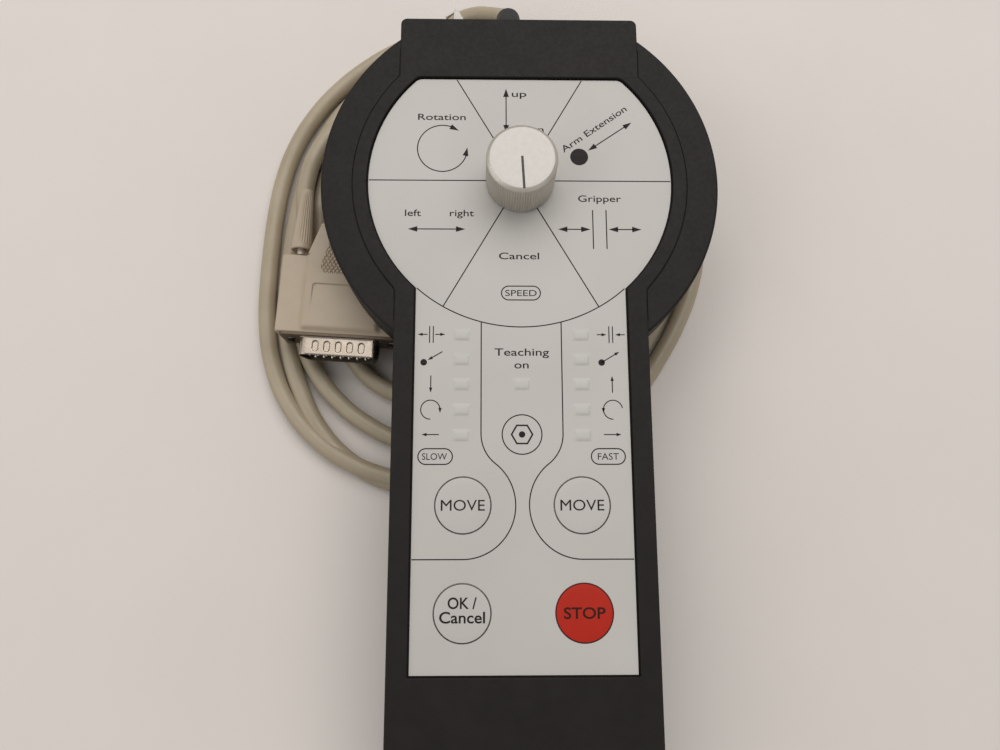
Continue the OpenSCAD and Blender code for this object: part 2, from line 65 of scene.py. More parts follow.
def at(x, y, z=0.0):
    """A point given in millimetres in the head's frame, in metres in the row frame."""
    return HEAD + Vector((x, y, z)) * MM


def turned(angle, axis):
    """A turn by an angle in degrees."""
    return Matrix.Rotation(radians(angle), 4, axis)


def centre(node):
    lo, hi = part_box(node)
    return (lo + hi) / 2


def in_mm(point):
    return (point - HEAD) / MM


# Sizes in millimetres, measured on the frame
BAR_X = 38.45
RIM_R = (front_hi.x - front_lo.x) / 2 / MM
END_Y = in_mm(front_hi).y
FOOT_Y = in_mm(front_lo).y
LIP_Z = in_mm(front_hi).z
RIM_FOOT_Z = in_mm(front_lo).z
TABLE_Z = in_mm(coil_lo).z
PANEL_HALF = 32.0
PANEL_ROUND = 3.2
PANEL_R = (panel_hi.x - panel_lo.x) / 2 / MM
PANEL_TOP = in_mm(panel_hi).y
PANEL_FOOT = in_mm(panel_lo).y
KNOB_H = in_mm(knob_hi).z
KNOB_FOOT = in_mm(knob_lo).z
KNOB_R = (knob_hi.x - knob_lo.x) / 2 / MM
RIM_TOP_Z = 0.6
CEILING_Z = -3.2
PLATFORM_R = 52.5
NECK_R = 3.0
CABLE_R = (coil_hi.z - coil_lo.z) / 2 / MM

# ---- Camera ----

camera_data = bpy.data.cameras.new("camera")
camera_data.lens = 28.8
camera_data.sensor_width = 36
camera_data.clip_start = 0.01
camera_data.clip_end = 20
camera = bpy.data.objects.new("camera", camera_data)
scene.collection.objects.link(camera)
camera.location = at(-10.84, -109.77, 234.34)
camera.rotation_euler = (0.1997, -0.0182, -0.0024)
scene.camera = camera

# ---- Materials ----


class Nodes:
    """A short way to add and join the nodes of one material."""

    def __init__(self, name):
        self.material = bpy.data.materials.new(name)
        self.material.use_nodes = True
        self.tree = self.material.node_tree
        self.shader = self.tree.nodes["Principled BSDF"]
        self.place = self.add("ShaderNodeTexCoord").outputs["Object"]

    def add(self, kind, **settings):
        node = self.tree.nodes.new(kind)
        for key, value in settings.items():
            setattr(node, key, value)
        return node

    def join(self, a, b):
        self.tree.links.new(a, b)

    def noise(self, cell_mm, detail=3.0):
        """Noise whose cells are about cell_mm wide, in the object's own coordinates."""
        node = self.add("ShaderNodeTexNoise")
        node.inputs["Scale"].default_value = 1 / (cell_mm * MM)
        node.inputs["Detail"].default_value = detail
        self.join(self.place, node.inputs["Vector"])
        return node.outputs["Fac"]

    def ramp(self, fac, low, high, start=0.3, end=0.7):
        """Colours from low to high as fac goes from start to end."""
        node = self.add("ShaderNodeValToRGB")
        node.color_ramp.elements[0].position = start
        node.color_ramp.elements[1].position = end
        node.color_ramp.elements[0].color = (*low, 1)
        node.color_ramp.elements[1].color = (*high, 1)
        self.join(fac, node.inputs["Fac"])
        return node.outputs["Color"]

    def bump(self, height, depth_mm):
        """Adds a relief to the surface, on top of one already there."""
        node = self.add("ShaderNodeBump")
        node.inputs["Distance"].default_value = depth_mm * MM
        node.inputs["Strength"].default_value = 1.0
        self.join(height, node.inputs["Height"])
        socket = self.shader.inputs["Normal"]
        if socket.links:
            self.join(socket.links[0].from_socket, node.inputs["Normal"])
        self.join(node.outputs["Normal"], socket)


def surface(name, patch_mm, low, high, rough_mm, rough, grains=(), specular=0.5, metallic=0.0):
    """A surface whose colour drifts from low to high and whose roughness drifts between its two ends.

    grains are the (cell, detail, depth) of its relief, in millimetres.
    """
    n = Nodes(name)
    n.join(n.ramp(n.noise(patch_mm), low, high), n.shader.inputs["Base Color"])
    n.join(n.ramp(n.noise(rough_mm), *((r,) * 3 for r in rough)), n.shader.inputs["Roughness"])
    for cell_mm, detail, depth_mm in grains:
        n.bump(n.noise(cell_mm, detail), depth_mm)
    n.shader.inputs["Specular IOR Level"].default_value = specular
    n.shader.inputs["Metallic"].default_value = metallic
    return n


def finish_of(name, colour, rough, vary=0.06, patch_mm=9.0, grain_mm=0.3, grain_depth=0.01, rough_vary=0.06, **more):
    """A surface that drifts both ways from one colour and one roughness, with a fine grain."""
    low, high = (tuple(c * share for c in colour) for share in (1 - vary, 1 + vary))
    ends = (rough - rough_vary, rough + rough_vary)
    return surface(name, patch_mm, low, high, grain_mm * 3, ends, [(grain_mm, 3, grain_depth)], **more).material


def ink_of(name, colour, specular):
    return finish_of(name, colour, 0.5, vary=0.15, patch_mm=3, grain_depth=0.002, specular=specular)


def board_finish():
    """Green solder mask over darker copper tracks."""
    n = Nodes("board_mask")
    tracks = n.add("ShaderNodeTexBrick")
    tracks.inputs["Scale"].default_value = 260
    tracks.inputs["Mortar Size"].default_value = 0.012
    tracks.inputs["Color1"].default_value = (0.012, 0.09, 0.035, 1)
    tracks.inputs["Color2"].default_value = (0.015, 0.105, 0.04, 1)
    tracks.inputs["Mortar"].default_value = (0.03, 0.17, 0.07, 1)
    n.join(n.place, tracks.inputs["Vector"])
    n.join(tracks.outputs["Color"], n.shader.inputs["Base Color"])
    n.join(n.ramp(n.noise(2), (0.28,) * 3, (0.4,) * 3), n.shader.inputs["Roughness"])
    n.bump(tracks.outputs["Fac"], 0.03)
    return n.material


def knob_finish():
    """Satin anodised aluminium, blasted and then faintly marked by turning."""
    n = surface("knob_aluminium", 1.5, (0.530, 0.498, 0.468), (0.565, 0.532, 0.500), 0.5, (0.5, 0.6), metallic=0.3)
    rings = n.add("ShaderNodeTexWave", wave_type="RINGS", rings_direction="Z")
    rings.inputs["Scale"].default_value = 1 / (0.35 * MM) / 6
    shift = n.add("ShaderNodeMapping")
    shift.inputs["Location"].default_value = -HEAD
    n.join(n.place, shift.inputs["Vector"])
    n.join(shift.outputs["Vector"], rings.inputs["Vector"])
    n.bump(rings.outputs["Fac"], 0.002)
    n.bump(n.noise(0.15), 0.004)
    return n.material


FINISHES = {
    # black moulded plastic with an even spark-eroded grain
    "housing": surface("housing_plastic", 6, (0.0118, 0.0099, 0.0091), (0.0146, 0.0124, 0.0115), 1.2, (0.5, 0.62),
                       [(0.32, 2, 0.035), (0.9, 2, 0.02)], specular=0.17).material,
    # the printed sheet: pale warm grey film with a fine pebbled face
    "panel": surface("label_film", 30, (0.462, 0.443, 0.416), (0.488, 0.469, 0.442), 0.8, (0.42, 0.52),
                     [(0.28, 2, 0.006)], specular=0.4).material,
    "board": board_finish(),
    "knob": knob_finish(),
    # satin grey-beige sheath, with the faint scuffs of handling along it
    "cable": surface("cable_sheath", 14, (0.335, 0.275, 0.190), (0.380, 0.318, 0.226), 2.5, (0.34, 0.5),
                     [(0.8, 3, 0.02)]).material,
    # beige moulded plastic of the plug's hood
    "hood": surface("hood_plastic", 8, (0.385, 0.310, 0.226), (0.415, 0.338, 0.250), 1.0, (0.4, 0.5),
                    [(0.35, 2, 0.012)]).material,
    "key_red": finish_of("key_red_film", (0.40, 0.014, 0.003), 0.5, vary=0.04, grain_depth=0.004, specular=0.25),
    "window": finish_of("window_film", (0.47, 0.455, 0.428), 0.45, vary=0.03, grain_depth=0.004),
    "screw": finish_of("screw_zinc", (0.55, 0.54, 0.50), 0.32, metallic=1.0),
    "steel": finish_of("steel_plate", (0.60, 0.59, 0.57), 0.35, metallic=1.0, grain_mm=0.25),
    "chip": finish_of("chip_epoxy", (0.02, 0.02, 0.022), 0.6, grain_mm=0.15),
    "capacitor": finish_of("capacitor_sleeve", (0.04, 0.05, 0.11), 0.3, grain_mm=1),
    "header": finish_of("header_nylon", (0.68, 0.64, 0.50), 0.45, grain_mm=0.5),
    "cores": finish_of("core_insulation", (0.12, 0.06, 0.12), 0.4, vary=0.5, patch_mm=2, grain_mm=0.6,
                       grain_depth=0.02),
    "switch_body": finish_of("switch_phenolic", (0.05, 0.055, 0.07), 0.45, grain_mm=0.5),
    "boot": finish_of("boot_rubber", (0.014, 0.0135, 0.014), 0.62, grain_mm=0.5, grain_depth=0.02),
    "tie": finish_of("tie_nylon", (0.60, 0.56, 0.52), 0.4, grain_mm=0.8),
    "plug_metal": finish_of("plug_nickel", (0.38, 0.325, 0.27), 0.26, vary=0.03, metallic=1.0, grain_mm=0.6,
                            grain_depth=0.006, rough_vary=0.05),
    "contact": finish_of("contact_tin", (0.80, 0.76, 0.69), 0.24, metallic=1.0, grain_depth=0.005),
}
FINISHES["key_pale"] = FINISHES["panel"]
INK = ink_of("legend_ink", (0.016, 0.0115, 0.0115), 0.15)
RED_INK = ink_of("stop_ink", (0.028, 0.004, 0.003), 0.2)
POINTER_PAINT = finish_of("pointer_paint", (0.008, 0.008, 0.008), 0.4, grain_depth=0.004)
KNOB_SIDE = finish_of("knob_side", (0.60, 0.565, 0.51), 0.45, metallic=0.85)
# painted shade: dark metal for the plug shell's mouth, its inside and its dimples' walls, and for the screws' ends in
# the flange
PAINTED_SHADE = finish_of("plug_painted_shade", (0.10, 0.08, 0.06), 0.5, metallic=0.8)
# painted shade: the flange is the shell's own nickel, painted darker where it lies in shade under the hood
SHADED_FLANGE = finish_of("plug_flange_painted_shade", (0.14, 0.105, 0.075), 0.5, metallic=0.7, grain_mm=0.4)
NECK = finish_of("jackscrew_neck", (0.62, 0.57, 0.51), 0.5, metallic=0.4)
INSULATOR = finish_of("insulator_plastic", (0.012, 0.012, 0.013), 0.45, grain_depth=0.008)

# ---- Helpers for meshes ----

SHARP = radians(32)


def own(obj, body, stands_for=()):
    """The piece rides on a body and stands for CAD nodes, which it hides."""
    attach(obj, body)
    if stands_for:
        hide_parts(*stands_for)
    return obj


def piece(name, mesh_made, material, sharp=SHARP, even=True):
    """A mesh object from a bmesh, smooth but for its sharp edges."""
    bmesh.ops.recalc_face_normals(mesh_made, faces=mesh_made.faces)
    mesh = bpy.data.meshes.new(name)
    mesh_made.to_mesh(mesh)
    mesh_made.free()
    mesh.materials.append(material)
    mesh.shade_smooth()
    mesh.set_sharp_from_angle(angle=sharp)
    obj = bpy.data.objects.new(name, mesh)
    scene.collection.objects.link(obj)
    if even:
        weighted = obj.modifiers.new("even_normals", "WEIGHTED_NORMAL")
        weighted.keep_sharp = True
    return obj


def made(name, bm, slot, *replaced, body="pendant", material=None, sharp=SHARP, even=False):
    """A piece in a slot's finish that rides on a body and replaces CAD nodes."""
    return own(piece(name, bm, material or FINISHES[slot], sharp, even), body, replaced)


def loft(bm, rings, closed=True, wrap=False, caps=False):
    """Faces between rings that have equally many points. wrap joins the last ring to the first."""
    rows = [[bm.verts.new(p) for p in ring] for ring in rings]
    count = len(rows[0])
    pairs = list(zip(rows, rows[1:])) + ([(rows[-1], rows[0])] if wrap else [])
    for a, b in pairs:
        for i in range(count if closed else count - 1):
            j = (i + 1) % count
            bm.faces.new((a[i], a[j], b[j], b[i]))
    if caps:
        bm.faces.new(rows[0])
        bm.faces.new(rows[-1])
    return rows


def fill_between(bm, outer, inner):
    """Flat faces between two loops of vertices, one inside the other."""
    edges = []
    for row in (outer, inner):
        for i in range(len(row)):
            pair = (row[i], row[(i + 1) % len(row)])
            edges.append(bm.edges.get(pair) or bm.edges.new(pair))
    bmesh.ops.triangle_fill(bm, use_beauty=True, use_dissolve=False, edges=edges)


def arc(cx, cy, r, start, end, steps):
    """Points on an arc, angles in degrees, both ends included."""
    angles = [radians(start + (end - start) * i / steps) for i in range(steps + 1)]
    return [(cx + r * cos(a), cy + r * sin(a)) for a in angles]


def mirrored(right):
    """A closed outline from its right half."""
    return right + [(-x, y) for x, y in reversed(right)]


def rounded_rectangle(x, y, half_x, half_y, r, steps):
    """Points round a rectangle with rounded corners, anticlockwise from its upper right corner."""
    points = []
    for sx, sy, start in ((1, 1, 0), (-1, 1, 90), (-1, -1, 180), (1, -1, 270)):
        points += arc(x + sx * (half_x - r), y + sy * (half_y - r), r, start, start + 90, steps)
    return points


def lathe(bm, profile, steps, place, ripple=None):
    """Turns a profile of (radius, height) round local Z. ripple(angle, radius, height) adds to the radius."""
    rings = []
    for r, z in profile:
        ring = []
        for i in range(steps):
            a = 2 * pi * i / steps
            q = r + (ripple(a, r, z) if ripple else 0)
            ring.append(place @ Vector((q * cos(a), q * sin(a), z)))
        rings.append(ring)
    loft(bm, rings, caps=True)


def rounded_box(bm, lo, hi, r, place):
    """A block with all its edges rounded."""
    cube = bmesh.ops.create_cube(bm, size=1)["verts"]
    for v in cube:
        v.co = Vector(v.co[i] * (hi[i] - lo[i]) + (hi[i] + lo[i]) / 2 for i in range(3))
    edges = {e for v in cube for e in v.link_edges}
    rounded = bmesh.ops.bevel(bm, geom=list(edges), offset=r, segments=3, profile=0.5, affect="EDGES")
    for v in {v for f in rounded["faces"] for v in f.verts} | {v for v in cube if v.is_valid}:
        v.co = place @ v.co


def shape_of(data, bm=None, place=Matrix.Identity(4)):
    """The filled shape of curve data, placed and added to a bmesh. The data is used up."""
    if bm is None:
        bm = bmesh.new()
    holder = bpy.data.objects.new("shape", data)
    mesh = bpy.data.meshes.new_from_object(holder)
    mesh.transform(place)
    bm.from_mesh(mesh)
    bpy.data.objects.remove(holder)
    bpy.data.curves.remove(data)
    bpy.data.meshes.remove(mesh)
    return bm


HEAD_PLACE = Matrix.Translation(HEAD) @ Matrix.Scale(MM, 4)


def curve_through(points, steps):
    """Catmull-Rom points along a given route."""
    line = []
    for i in range(len(points) - 1):
        a, b = points[max(0, i - 1)], points[i]
        c, d = points[i + 1], points[min(len(points) - 1, i + 2)]
        for k in range(steps):
            t = k / steps
            line.append(0.5 * (2 * b + t * (c - a) + t * t * (2 * a - 5 * b + 4 * c - d)
                               + t * t * t * (3 * b - a - 3 * c + d)))
    line.append(points[-1].copy())
    return line


# ---- Lead: one smooth cable from the strain relief round the coil to the plug ----

# The routes keep within about 2 mm of the CAD source's, in metres in the head's frame.
RELIEF_ROUTE = [(-0.003, 0.0563, -0.016), (-0.003, 0.060, -0.0161), (-0.0031, 0.064, -0.0166),
                (-0.0030, 0.0675, -0.0176), (-0.0029, 0.0713, -0.0192)]
LEAD_ROUTE = [(-0.0029, 0.0708, -0.0190), (-0.0049, 0.0737, -0.0226), (-0.0092, 0.0772, -0.0267),
              (-0.0144, 0.0799, -0.0303), (-0.0203, 0.0799, -0.0332), (-0.0277, 0.0750, -0.035)]
TAIL_ROUTE = [(0.0251, 0.0096, -0.035), (0.018, 0.0225, -0.035), (0.007, 0.033, -0.035), (-0.009, 0.0395, -0.035),
              (-0.026, 0.0385, -0.035), (-0.038, 0.033, -0.035), (-0.0465, 0.0255, -0.0332),
              (-0.052, 0.0175, -0.0294), (-0.055, 0.009, -0.0262), (-0.0559, 0.002, -0.0246),
              (-0.0561, -0.0053, -0.0245), (-0.05675, -0.01625, -0.0245)]
COIL_AT = (-0.0127, -0.0105)
COIL_R = 0.0823
COIL_WAVES = ((2, -0.0041, 0.0029), (3, 0.0022, -0.0007), (5, 0.0010, 0.0006))
COIL_START = radians(100)
COIL_PITCH = 0.0068
COIL_SPREAD = 0.004
COIL_TURNS = 3.8
COIL_LAY = TABLE_Z * MM + CABLE_R * MM
POINTS_PER_TURN = 36
# Where a turn has slid over or away from its neighbours: turn, half length in turns, outwards and upwards in metres
SLIPS = ((1.145, 0.09, -0.0012, 0.0), (1.43, 0.12, 0.0083, -0.0012), (2.15, 0.1, 0.0038, 0.0055),
         (2.29, 0.06, 0.0018, 0.0), (2.43, 0.06, 0.0016, 0.0), (3.16, 0.18, 0.011, 0.0), (3.37, 0.1, 0.0006, 0.0))


def coil_point(turn):
    """A point of the coil's centreline in the head's frame."""
    a = COIL_START + 2 * pi * turn
    r = COIL_R - COIL_PITCH * turn - COIL_SPREAD * max(0.0, turn - 2) ** 2
    r += sum(c * cos(n * a) + s * sin(n * a) for n, c, s in COIL_WAVES)
    z = COIL_LAY
    for middle, half, out, up in SLIPS:
        share = max(0.0, 1 - ((turn - middle) / half) ** 2) ** 2
        r += out * share
        z += up * share
    return Vector((COIL_AT[0] + r * cos(a), COIL_AT[1] + r * sin(a), z))


def lead_points():
    count = round(COIL_TURNS * POINTS_PER_TURN)
    coil = [coil_point(COIL_TURNS * i / count) for i in range(1, count)]
    return [HEAD + Vector(p) for p in (*LEAD_ROUTE, *coil, *TAIL_ROUTE)]


def make_lead():
    """The cable as one curve."""
    points = lead_points()
    data = bpy.data.curves.new("lead_cable", "CURVE")
    data.dimensions = "3D"
    data.resolution_u = 6
    data.bevel_depth = CABLE_R * MM
    data.bevel_resolution = 7
    data.use_fill_caps = True
    spline = data.splines.new("BEZIER")
    spline.bezier_points.add(len(points) - 1)
    for b, p in zip(spline.bezier_points, points):
        b.co = p
        b.handle_left_type = b.handle_right_type = "AUTO"
    data.materials.append(FINISHES["cable"])
    obj = bpy.data.objects.new("lead_cable", data)
    scene.collection.objects.link(obj)
    return own(obj, "pendant", ("cable_lead", "cable_coil", "cable_tail"))


lead = make_lead()

lead_line = curve_through(lead_points(), 6)


def make_relief():
    """Rubber boot: a tapered tube with ring grooves near the housing and a rounded tip."""
    line = [HEAD + p for p in curve_through([Vector(p) for p in RELIEF_ROUTE], 8)]
    count = len(line)
    rings = []
    bm = bmesh.new()
    for i, p in enumerate(line):
        share = i / (count - 1)
        ahead = (line[min(count - 1, i + 1)] - line[max(0, i - 1)]).normalized()
        side = ahead.cross(Vector((0, 0, 1))).normalized()
        up = side.cross(ahead)
        r = 6.5 - 2.6 * share ** 0.8
        if 0.12 < share < 0.5:
            r -= 0.45 * (i % 2)
        tip = max(0.0, (share - 0.9) / 0.1)
        r = 3.05 + (r - 3.05) * sqrt(max(0.0, 1 - tip * tip))
        rings.append([p + (side * cos(t) + up * sin(t)) * r * MM
                      for t in (2 * pi * k / 40 for k in range(40))])
    loft(bm, rings, caps=True)
    return made("strain_boot", bm, "boot", "strain_relief")


boot = make_relief()

# ---- Plug, in its own frame ----

plug_side = centre("thumbscrew_shank_right") - centre("thumbscrew_shank_left")
CONTACTS_MIDDLE = 1.0
PLUG_PLACE = (
    Matrix.Translation(centre("plug_contacts"))
    @ Matrix.Rotation(atan2(plug_side.y, plug_side.x), 4, "Z")
    @ Matrix.Scale(MM, 4)
    @ Matrix.Translation((0, -CONTACTS_MIDDLE, 0))
)
HOOD_HALF = 20.95
SHOULDER_Y = 26.4
SHOULDER_Z = 6.3
MIDDLE_Z = 7.5
HOOD_END = 37.5
HANDLE_Y = 29.75
JACK_X = plug_side.length / 2 / MM


def between(table, y):
    """Straight lines between (y, value) pairs."""
    for (y0, v0), (y1, v1) in zip(table, table[1:]):
        if y <= y1:
            return v0 + (v1 - v0) * max(0.0, y - y0) / (y1 - y0)
    return table[-1][1]


def smooth(t):
    t = max(0.0, min(1.0, t))
    return t * t * (3 - 2 * t)


def middle_half(y):
    """Half the width of the hood's raised middle."""
    return between([(0, 12.6), (16, 12.8), (20, 12.75), (23.5, 12.4), (26.4, 12.5), (37.5, 8.9)], y)


def rounded_edge(distance, r):
    """How far a surface has dropped at a distance inside its rounded edge."""
    return 0.0 if distance >= r else r - sqrt(max(0.0, r * r - (r - distance) ** 2))


def box_distance(x, y, half_x, half_y, r):
    """Signed distance to a rounded rectangle, negative inside."""
    dx, dy = abs(x) - half_x + r, abs(y) - half_y + r
    return hypot(max(dx, 0), max(dy, 0)) + min(max(dx, dy), 0) - r


def hood_detail(x, y):
    """Height added by the slanted label recess and the hatched grip on the hood's face."""
    height = -0.5 * max(0.0, (y - 6.6) / 9.8) * smooth((0.1 - box_distance(x, y - 9.4, 9.8, 7.0, 1.1)) / 0.2)
    grip_half = between([(20, 6.6), (22.1, 7.9), (27, 6.7), (30, 5.9), (37.5, 4.9)], y)
    inside = min(grip_half - abs(x), y - 20.0, HOOD_END - 0.5 - y)
    if inside > 0:
        groove = 0.0
        for slope in (-0.62, 0.62):
            off = (x + slope * y) / 1.3
            groove = max(groove, 1 - abs(off - round(off)) / 0.28)
        height += 0.12 * smooth(inside / 0.3) - 0.5 * max(0.0, groove) * smooth(inside / 0.3)
    return height


FLANK_STEPS = 4
EDGE_STEPS = 5
RAMP_STEPS = 22


def hood_section(y, detailed):
    """(x, z) points over the hood at y, from one side's parting line to the other's, always equally many."""
    mid = middle_half(y)
    wide = y <= SHOULDER_Y
    corner = 1.2
    half = HOOD_HALF - rounded_edge(SHOULDER_Y - y, corner) - rounded_edge(y, 0.4) if wide else mid
    edge = 0.7
    end_drop = rounded_edge(y, 0.4) + rounded_edge(HOOD_END - y, edge)
    low = SHOULDER_Z - rounded_edge(SHOULDER_Y - y, edge) - rounded_edge(y, 0.4)
    high = MIDDLE_Z - (MIDDLE_Z - SHOULDER_Z) * smooth((2.2 - y) / 1.9) - end_drop
    top = low if wide else high
    side = [(half, 0.03 + (top - edge - 0.03) * k / FLANK_STEPS) for k in range(FLANK_STEPS)]
    for k in range(EDGE_STEPS + 1):
        a = pi / 2 * k / EDGE_STEPS
        side.append((half - edge + edge * cos(a), top - edge + edge * sin(a)))
    inner = mid - 1.3
    for k in range(1, RAMP_STEPS + 1):
        x = half - edge + (inner - half + edge) * k / RAMP_STEPS
        side.append((x, high if not wide else high - (high - low) * smooth((x - inner) / 2.4)))
    columns = 116 if detailed else 12
    across = [inner * (1 - 2 * i / columns) for i in range(1, columns)]
    middle = [(x, high + (hood_detail(x, y) if detailed else 0)) for x in across]
    return side + middle + [(-x, z) for x, z in reversed(side)]


def make_hood(name, side, node, detailed):
    """One half of the hood, lofted from its mouth over the shoulders to the cable's end."""
    rows = [0.0, 0.06, 0.15, 0.27, 0.4, 0.7, 1.0, 1.3, 1.6, 1.9, 2.2]
    while rows[-1] < SHOULDER_Y - 1.4:
        rows.append(rows[-1] + (0.2 if rows[-1] > 15.8 else 0.6))
    rows += [SHOULDER_Y - d for d in (1.2, 1.0, 0.8, 0.6, 0.42, 0.28, 0.15, 0.06, 0.01, 0.0)] + [SHOULDER_Y + 0.001]
    while rows[-1] < HOOD_END - 0.9:
        rows.append(rows[-1] + 0.2)
    rows += [HOOD_END - d for d in (0.7, 0.5, 0.33, 0.2, 0.1, 0.03, 0.0)]
    bm = bmesh.new()
    loft(bm, [[PLUG_PLACE @ Vector((x, y, side * z)) for x, z in hood_section(y, detailed)] for y in rows], caps=True)
    return made(name, bm, "hood", node, sharp=radians(50))


hood_top = make_hood("hood_top", 1, "hood_upper", True)
hood_base = make_hood("hood_base", -1, "hood_lower", False)


def d_outline(grow):
    """The D-shaped outline in local (x, z), wide side up, clockwise from the upper right corner."""
    top, bottom, half_h, r = 26.3 / 2 + grow, 23.4 / 2 + grow, 9.4 / 2 + grow, 2.6 + grow
    slant = degrees(atan2(top - bottom, 2 * half_h - 2 * r))
    return mirrored(arc(top - r, half_h - r, r, 90, -slant, 10) + arc(bottom - r, r - half_h, r, -slant, -90, 10))


def dense(points, step):
    """The closed outline with extra points so that none is further than step from the next."""
    line = []
    for a, b in zip(points, points[1:] + points[:1]):
        gap = dist(a, b)
        parts = max(1, ceil(gap / step))
        line += [(a[0] + (b[0] - a[0]) * k / parts, a[1] + (b[1] - a[1]) * k / parts) for k in range(parts)]
    return line


DIMPLES_X = [3.75 * i for i in range(-2, 3)]
SHELL_MOUTH = -6.9
FLANGE_T = 0.9


def dimple_distance(x, y):
    """Signed distance to a dimple's outline, from its own middle across the shell."""
    return box_distance(x, y + 4.0, 1.0, 1.8, 0.99)


def dimple(x, y, z):
    """How deep the grounding dimples on the shell's two long sides are pressed in."""
    if abs(z) < 4:
        return 0.0
    return max(0.22 * smooth((0.1 - dimple_distance(x - cx, y)) / 0.32) for cx in DIMPLES_X)


def cut_plate(bm, loops, thickness):
    """A plate at the mouth's plane, its outline first and then its holes, with eased edges."""
    data = bpy.data.curves.new("plate", "CURVE")
    data.dimensions = "2D"
    data.fill_mode = "BOTH"
    data.extrude = thickness / 2 - 0.1
    data.bevel_depth = 0.1
    data.offset = -0.1
    for loop in loops:
        spline = data.splines.new("POLY")
        spline.points.add(len(loop) - 1)
        for point, (x, z) in zip(spline.points, loop):
            point.co = (x, z, 0, 1)
        spline.use_cyclic_u = True
    place = PLUG_PLACE @ Matrix.Translation((0, -thickness / 2, 0)) @ turned(90, "X")
    shape_of(data, bm, place)


def make_plug_shell():
    """Pressed nickel shell with its flange."""
    bm = bmesh.new()
    ys = [-FLANGE_T + 0.2, -FLANGE_T, -1.0, -1.15]
    while ys[-1] > SHELL_MOUTH + 0.4:
        ys.append(ys[-1] - 0.13)
    outer = dense(d_outline(0), 0.14)
    rings = []
    for i, y in enumerate(ys):
        flare = 0.35 * (1 - smooth((-FLANGE_T + 0.2 - y) / 0.5))
        rings.append([(x * (1 + flare / 13), y, z * (1 + flare / 4.6) - copysign(dimple(x, y, z), z))
                      for x, z in outer])
    for wide, high, y in ((0.992, 0.975, SHELL_MOUTH), (0.972, 0.93, SHELL_MOUTH),
                          (0.962, 0.895, SHELL_MOUTH + 0.15), (0.962, 0.89, -FLANGE_T + 0.2)):
        rings.append([(x * wide, y, z * high) for x, z in outer])
    loft(bm, [[PLUG_PLACE @ Vector(p) for p in ring] for ring in rings], wrap=True)
    # the flange: a plate with rounded corners, open at the mouth and drilled for the two screws
    plate = rounded_rectangle(0, 0, 39.14 / 2, 12.5 / 2, 1.6, 8)
    eyes = [arc(s * JACK_X, 0, 1.55, 0, 348.75, 31) for s in (-1, 1)]
    cut_plate(bm, [plate, dense(d_outline(-0.6), 0.6)] + eyes, FLANGE_T)
    obj = made("plug_shell_pressed", bm, "plug_metal", "plug_shell", even=True)
    obj.data.materials.append(PAINTED_SHADE)
    obj.data.materials.append(SHADED_FLANGE)
    # Painted shade: the mouth's rim, the shell's inside and the dimples' walls take the dark metal; the flange takes
    # its own painted shade.
    to_plug = PLUG_PLACE.inverted()
    for face in obj.data.polygons:
        spot = to_plug @ face.center
        wall = min(abs(dimple_distance(spot.x - cx, spot.y) + 0.08) for cx in DIMPLES_X)
        inside = box_distance(spot.x, spot.z, 12.9, 4.45, 2.3) < 0
        if spot.y > -FLANGE_T - 0.02:
            face.material_index = 2
        elif wall < 0.1 or inside or spot.y < SHELL_MOUTH + 0.03:
            face.material_index = 1
    return obj


plug_metal = make_plug_shell()

PIN_PITCH = 2.77
PIN_ROW = 1.42


def make_pins():
    """Fifteen turned pins with rounded tips, in rows of eight and seven."""
    bm = bmesh.new()
    spots = [((i - 3.5) * PIN_PITCH, PIN_ROW) for i in range(8)] + [((i - 3) * PIN_PITCH, -PIN_ROW) for i in range(7)]
    profile = [(0.02, 6.6), (0.22, 6.53), (0.4, 6.3), (0.5, 5.95), (0.5, -8.0), (0.3, -8.1)]
    for x, z in spots:
        place = PLUG_PLACE @ Matrix.Translation((x, 0, z)) @ turned(90, "X")
        lathe(bm, profile, 16, place)
    return made("plug_pins", bm, "contact", "plug_contacts")


pins = make_pins()

SIDES = ("left", "right")


def screw_place(side, y):
    """Turns local Z along one of the two screws, starting y millimetres behind the flange."""
    x = JACK_X if side == "right" else -JACK_X
    return PLUG_PLACE @ Matrix.Translation((x, y, 0)) @ turned(-90, "X")


def make_thumbscrew(side):
    """Finely ribbed handle that narrows straight towards its free end, hollowed below its lip."""
    bm = bmesh.new()
    profile = [(1.15, 0.9), (2.2, 0.8), (2.7, 0.3), (2.95, 0.03), (3.15, 0.0), (3.35, 0.12), (3.45, 0.4), (3.45, 1.1),
               (3.35, 1.35), (3.3, 1.6), (3.38, 1.9)]
    profile += [(3.36 - 1.31 * k / 12, 2.2 + 18.8 * k / 12) for k in range(13)]
    profile += [(1.98, 21.4), (1.8, 21.75), (1.4, 21.95), (0.7, 22.0), (0.05, 22.0)]

    def ribs(angle, r, z):
        share = smooth((z - 1.8) / 0.8) * smooth((21.2 - z) / 0.8)
        return -0.22 * (1 - abs(cos(11 * angle))) * share

    lathe(bm, profile, 176, screw_place(side, HANDLE_Y), ribs)
    return made("thumb_handle_" + side, bm, "hood", "thumbscrew_" + side, body="jackscrew_" + side, sharp=radians(45))


thumbs = [make_thumbscrew(side) for side in SIDES]

JACK_TIP = -2.4


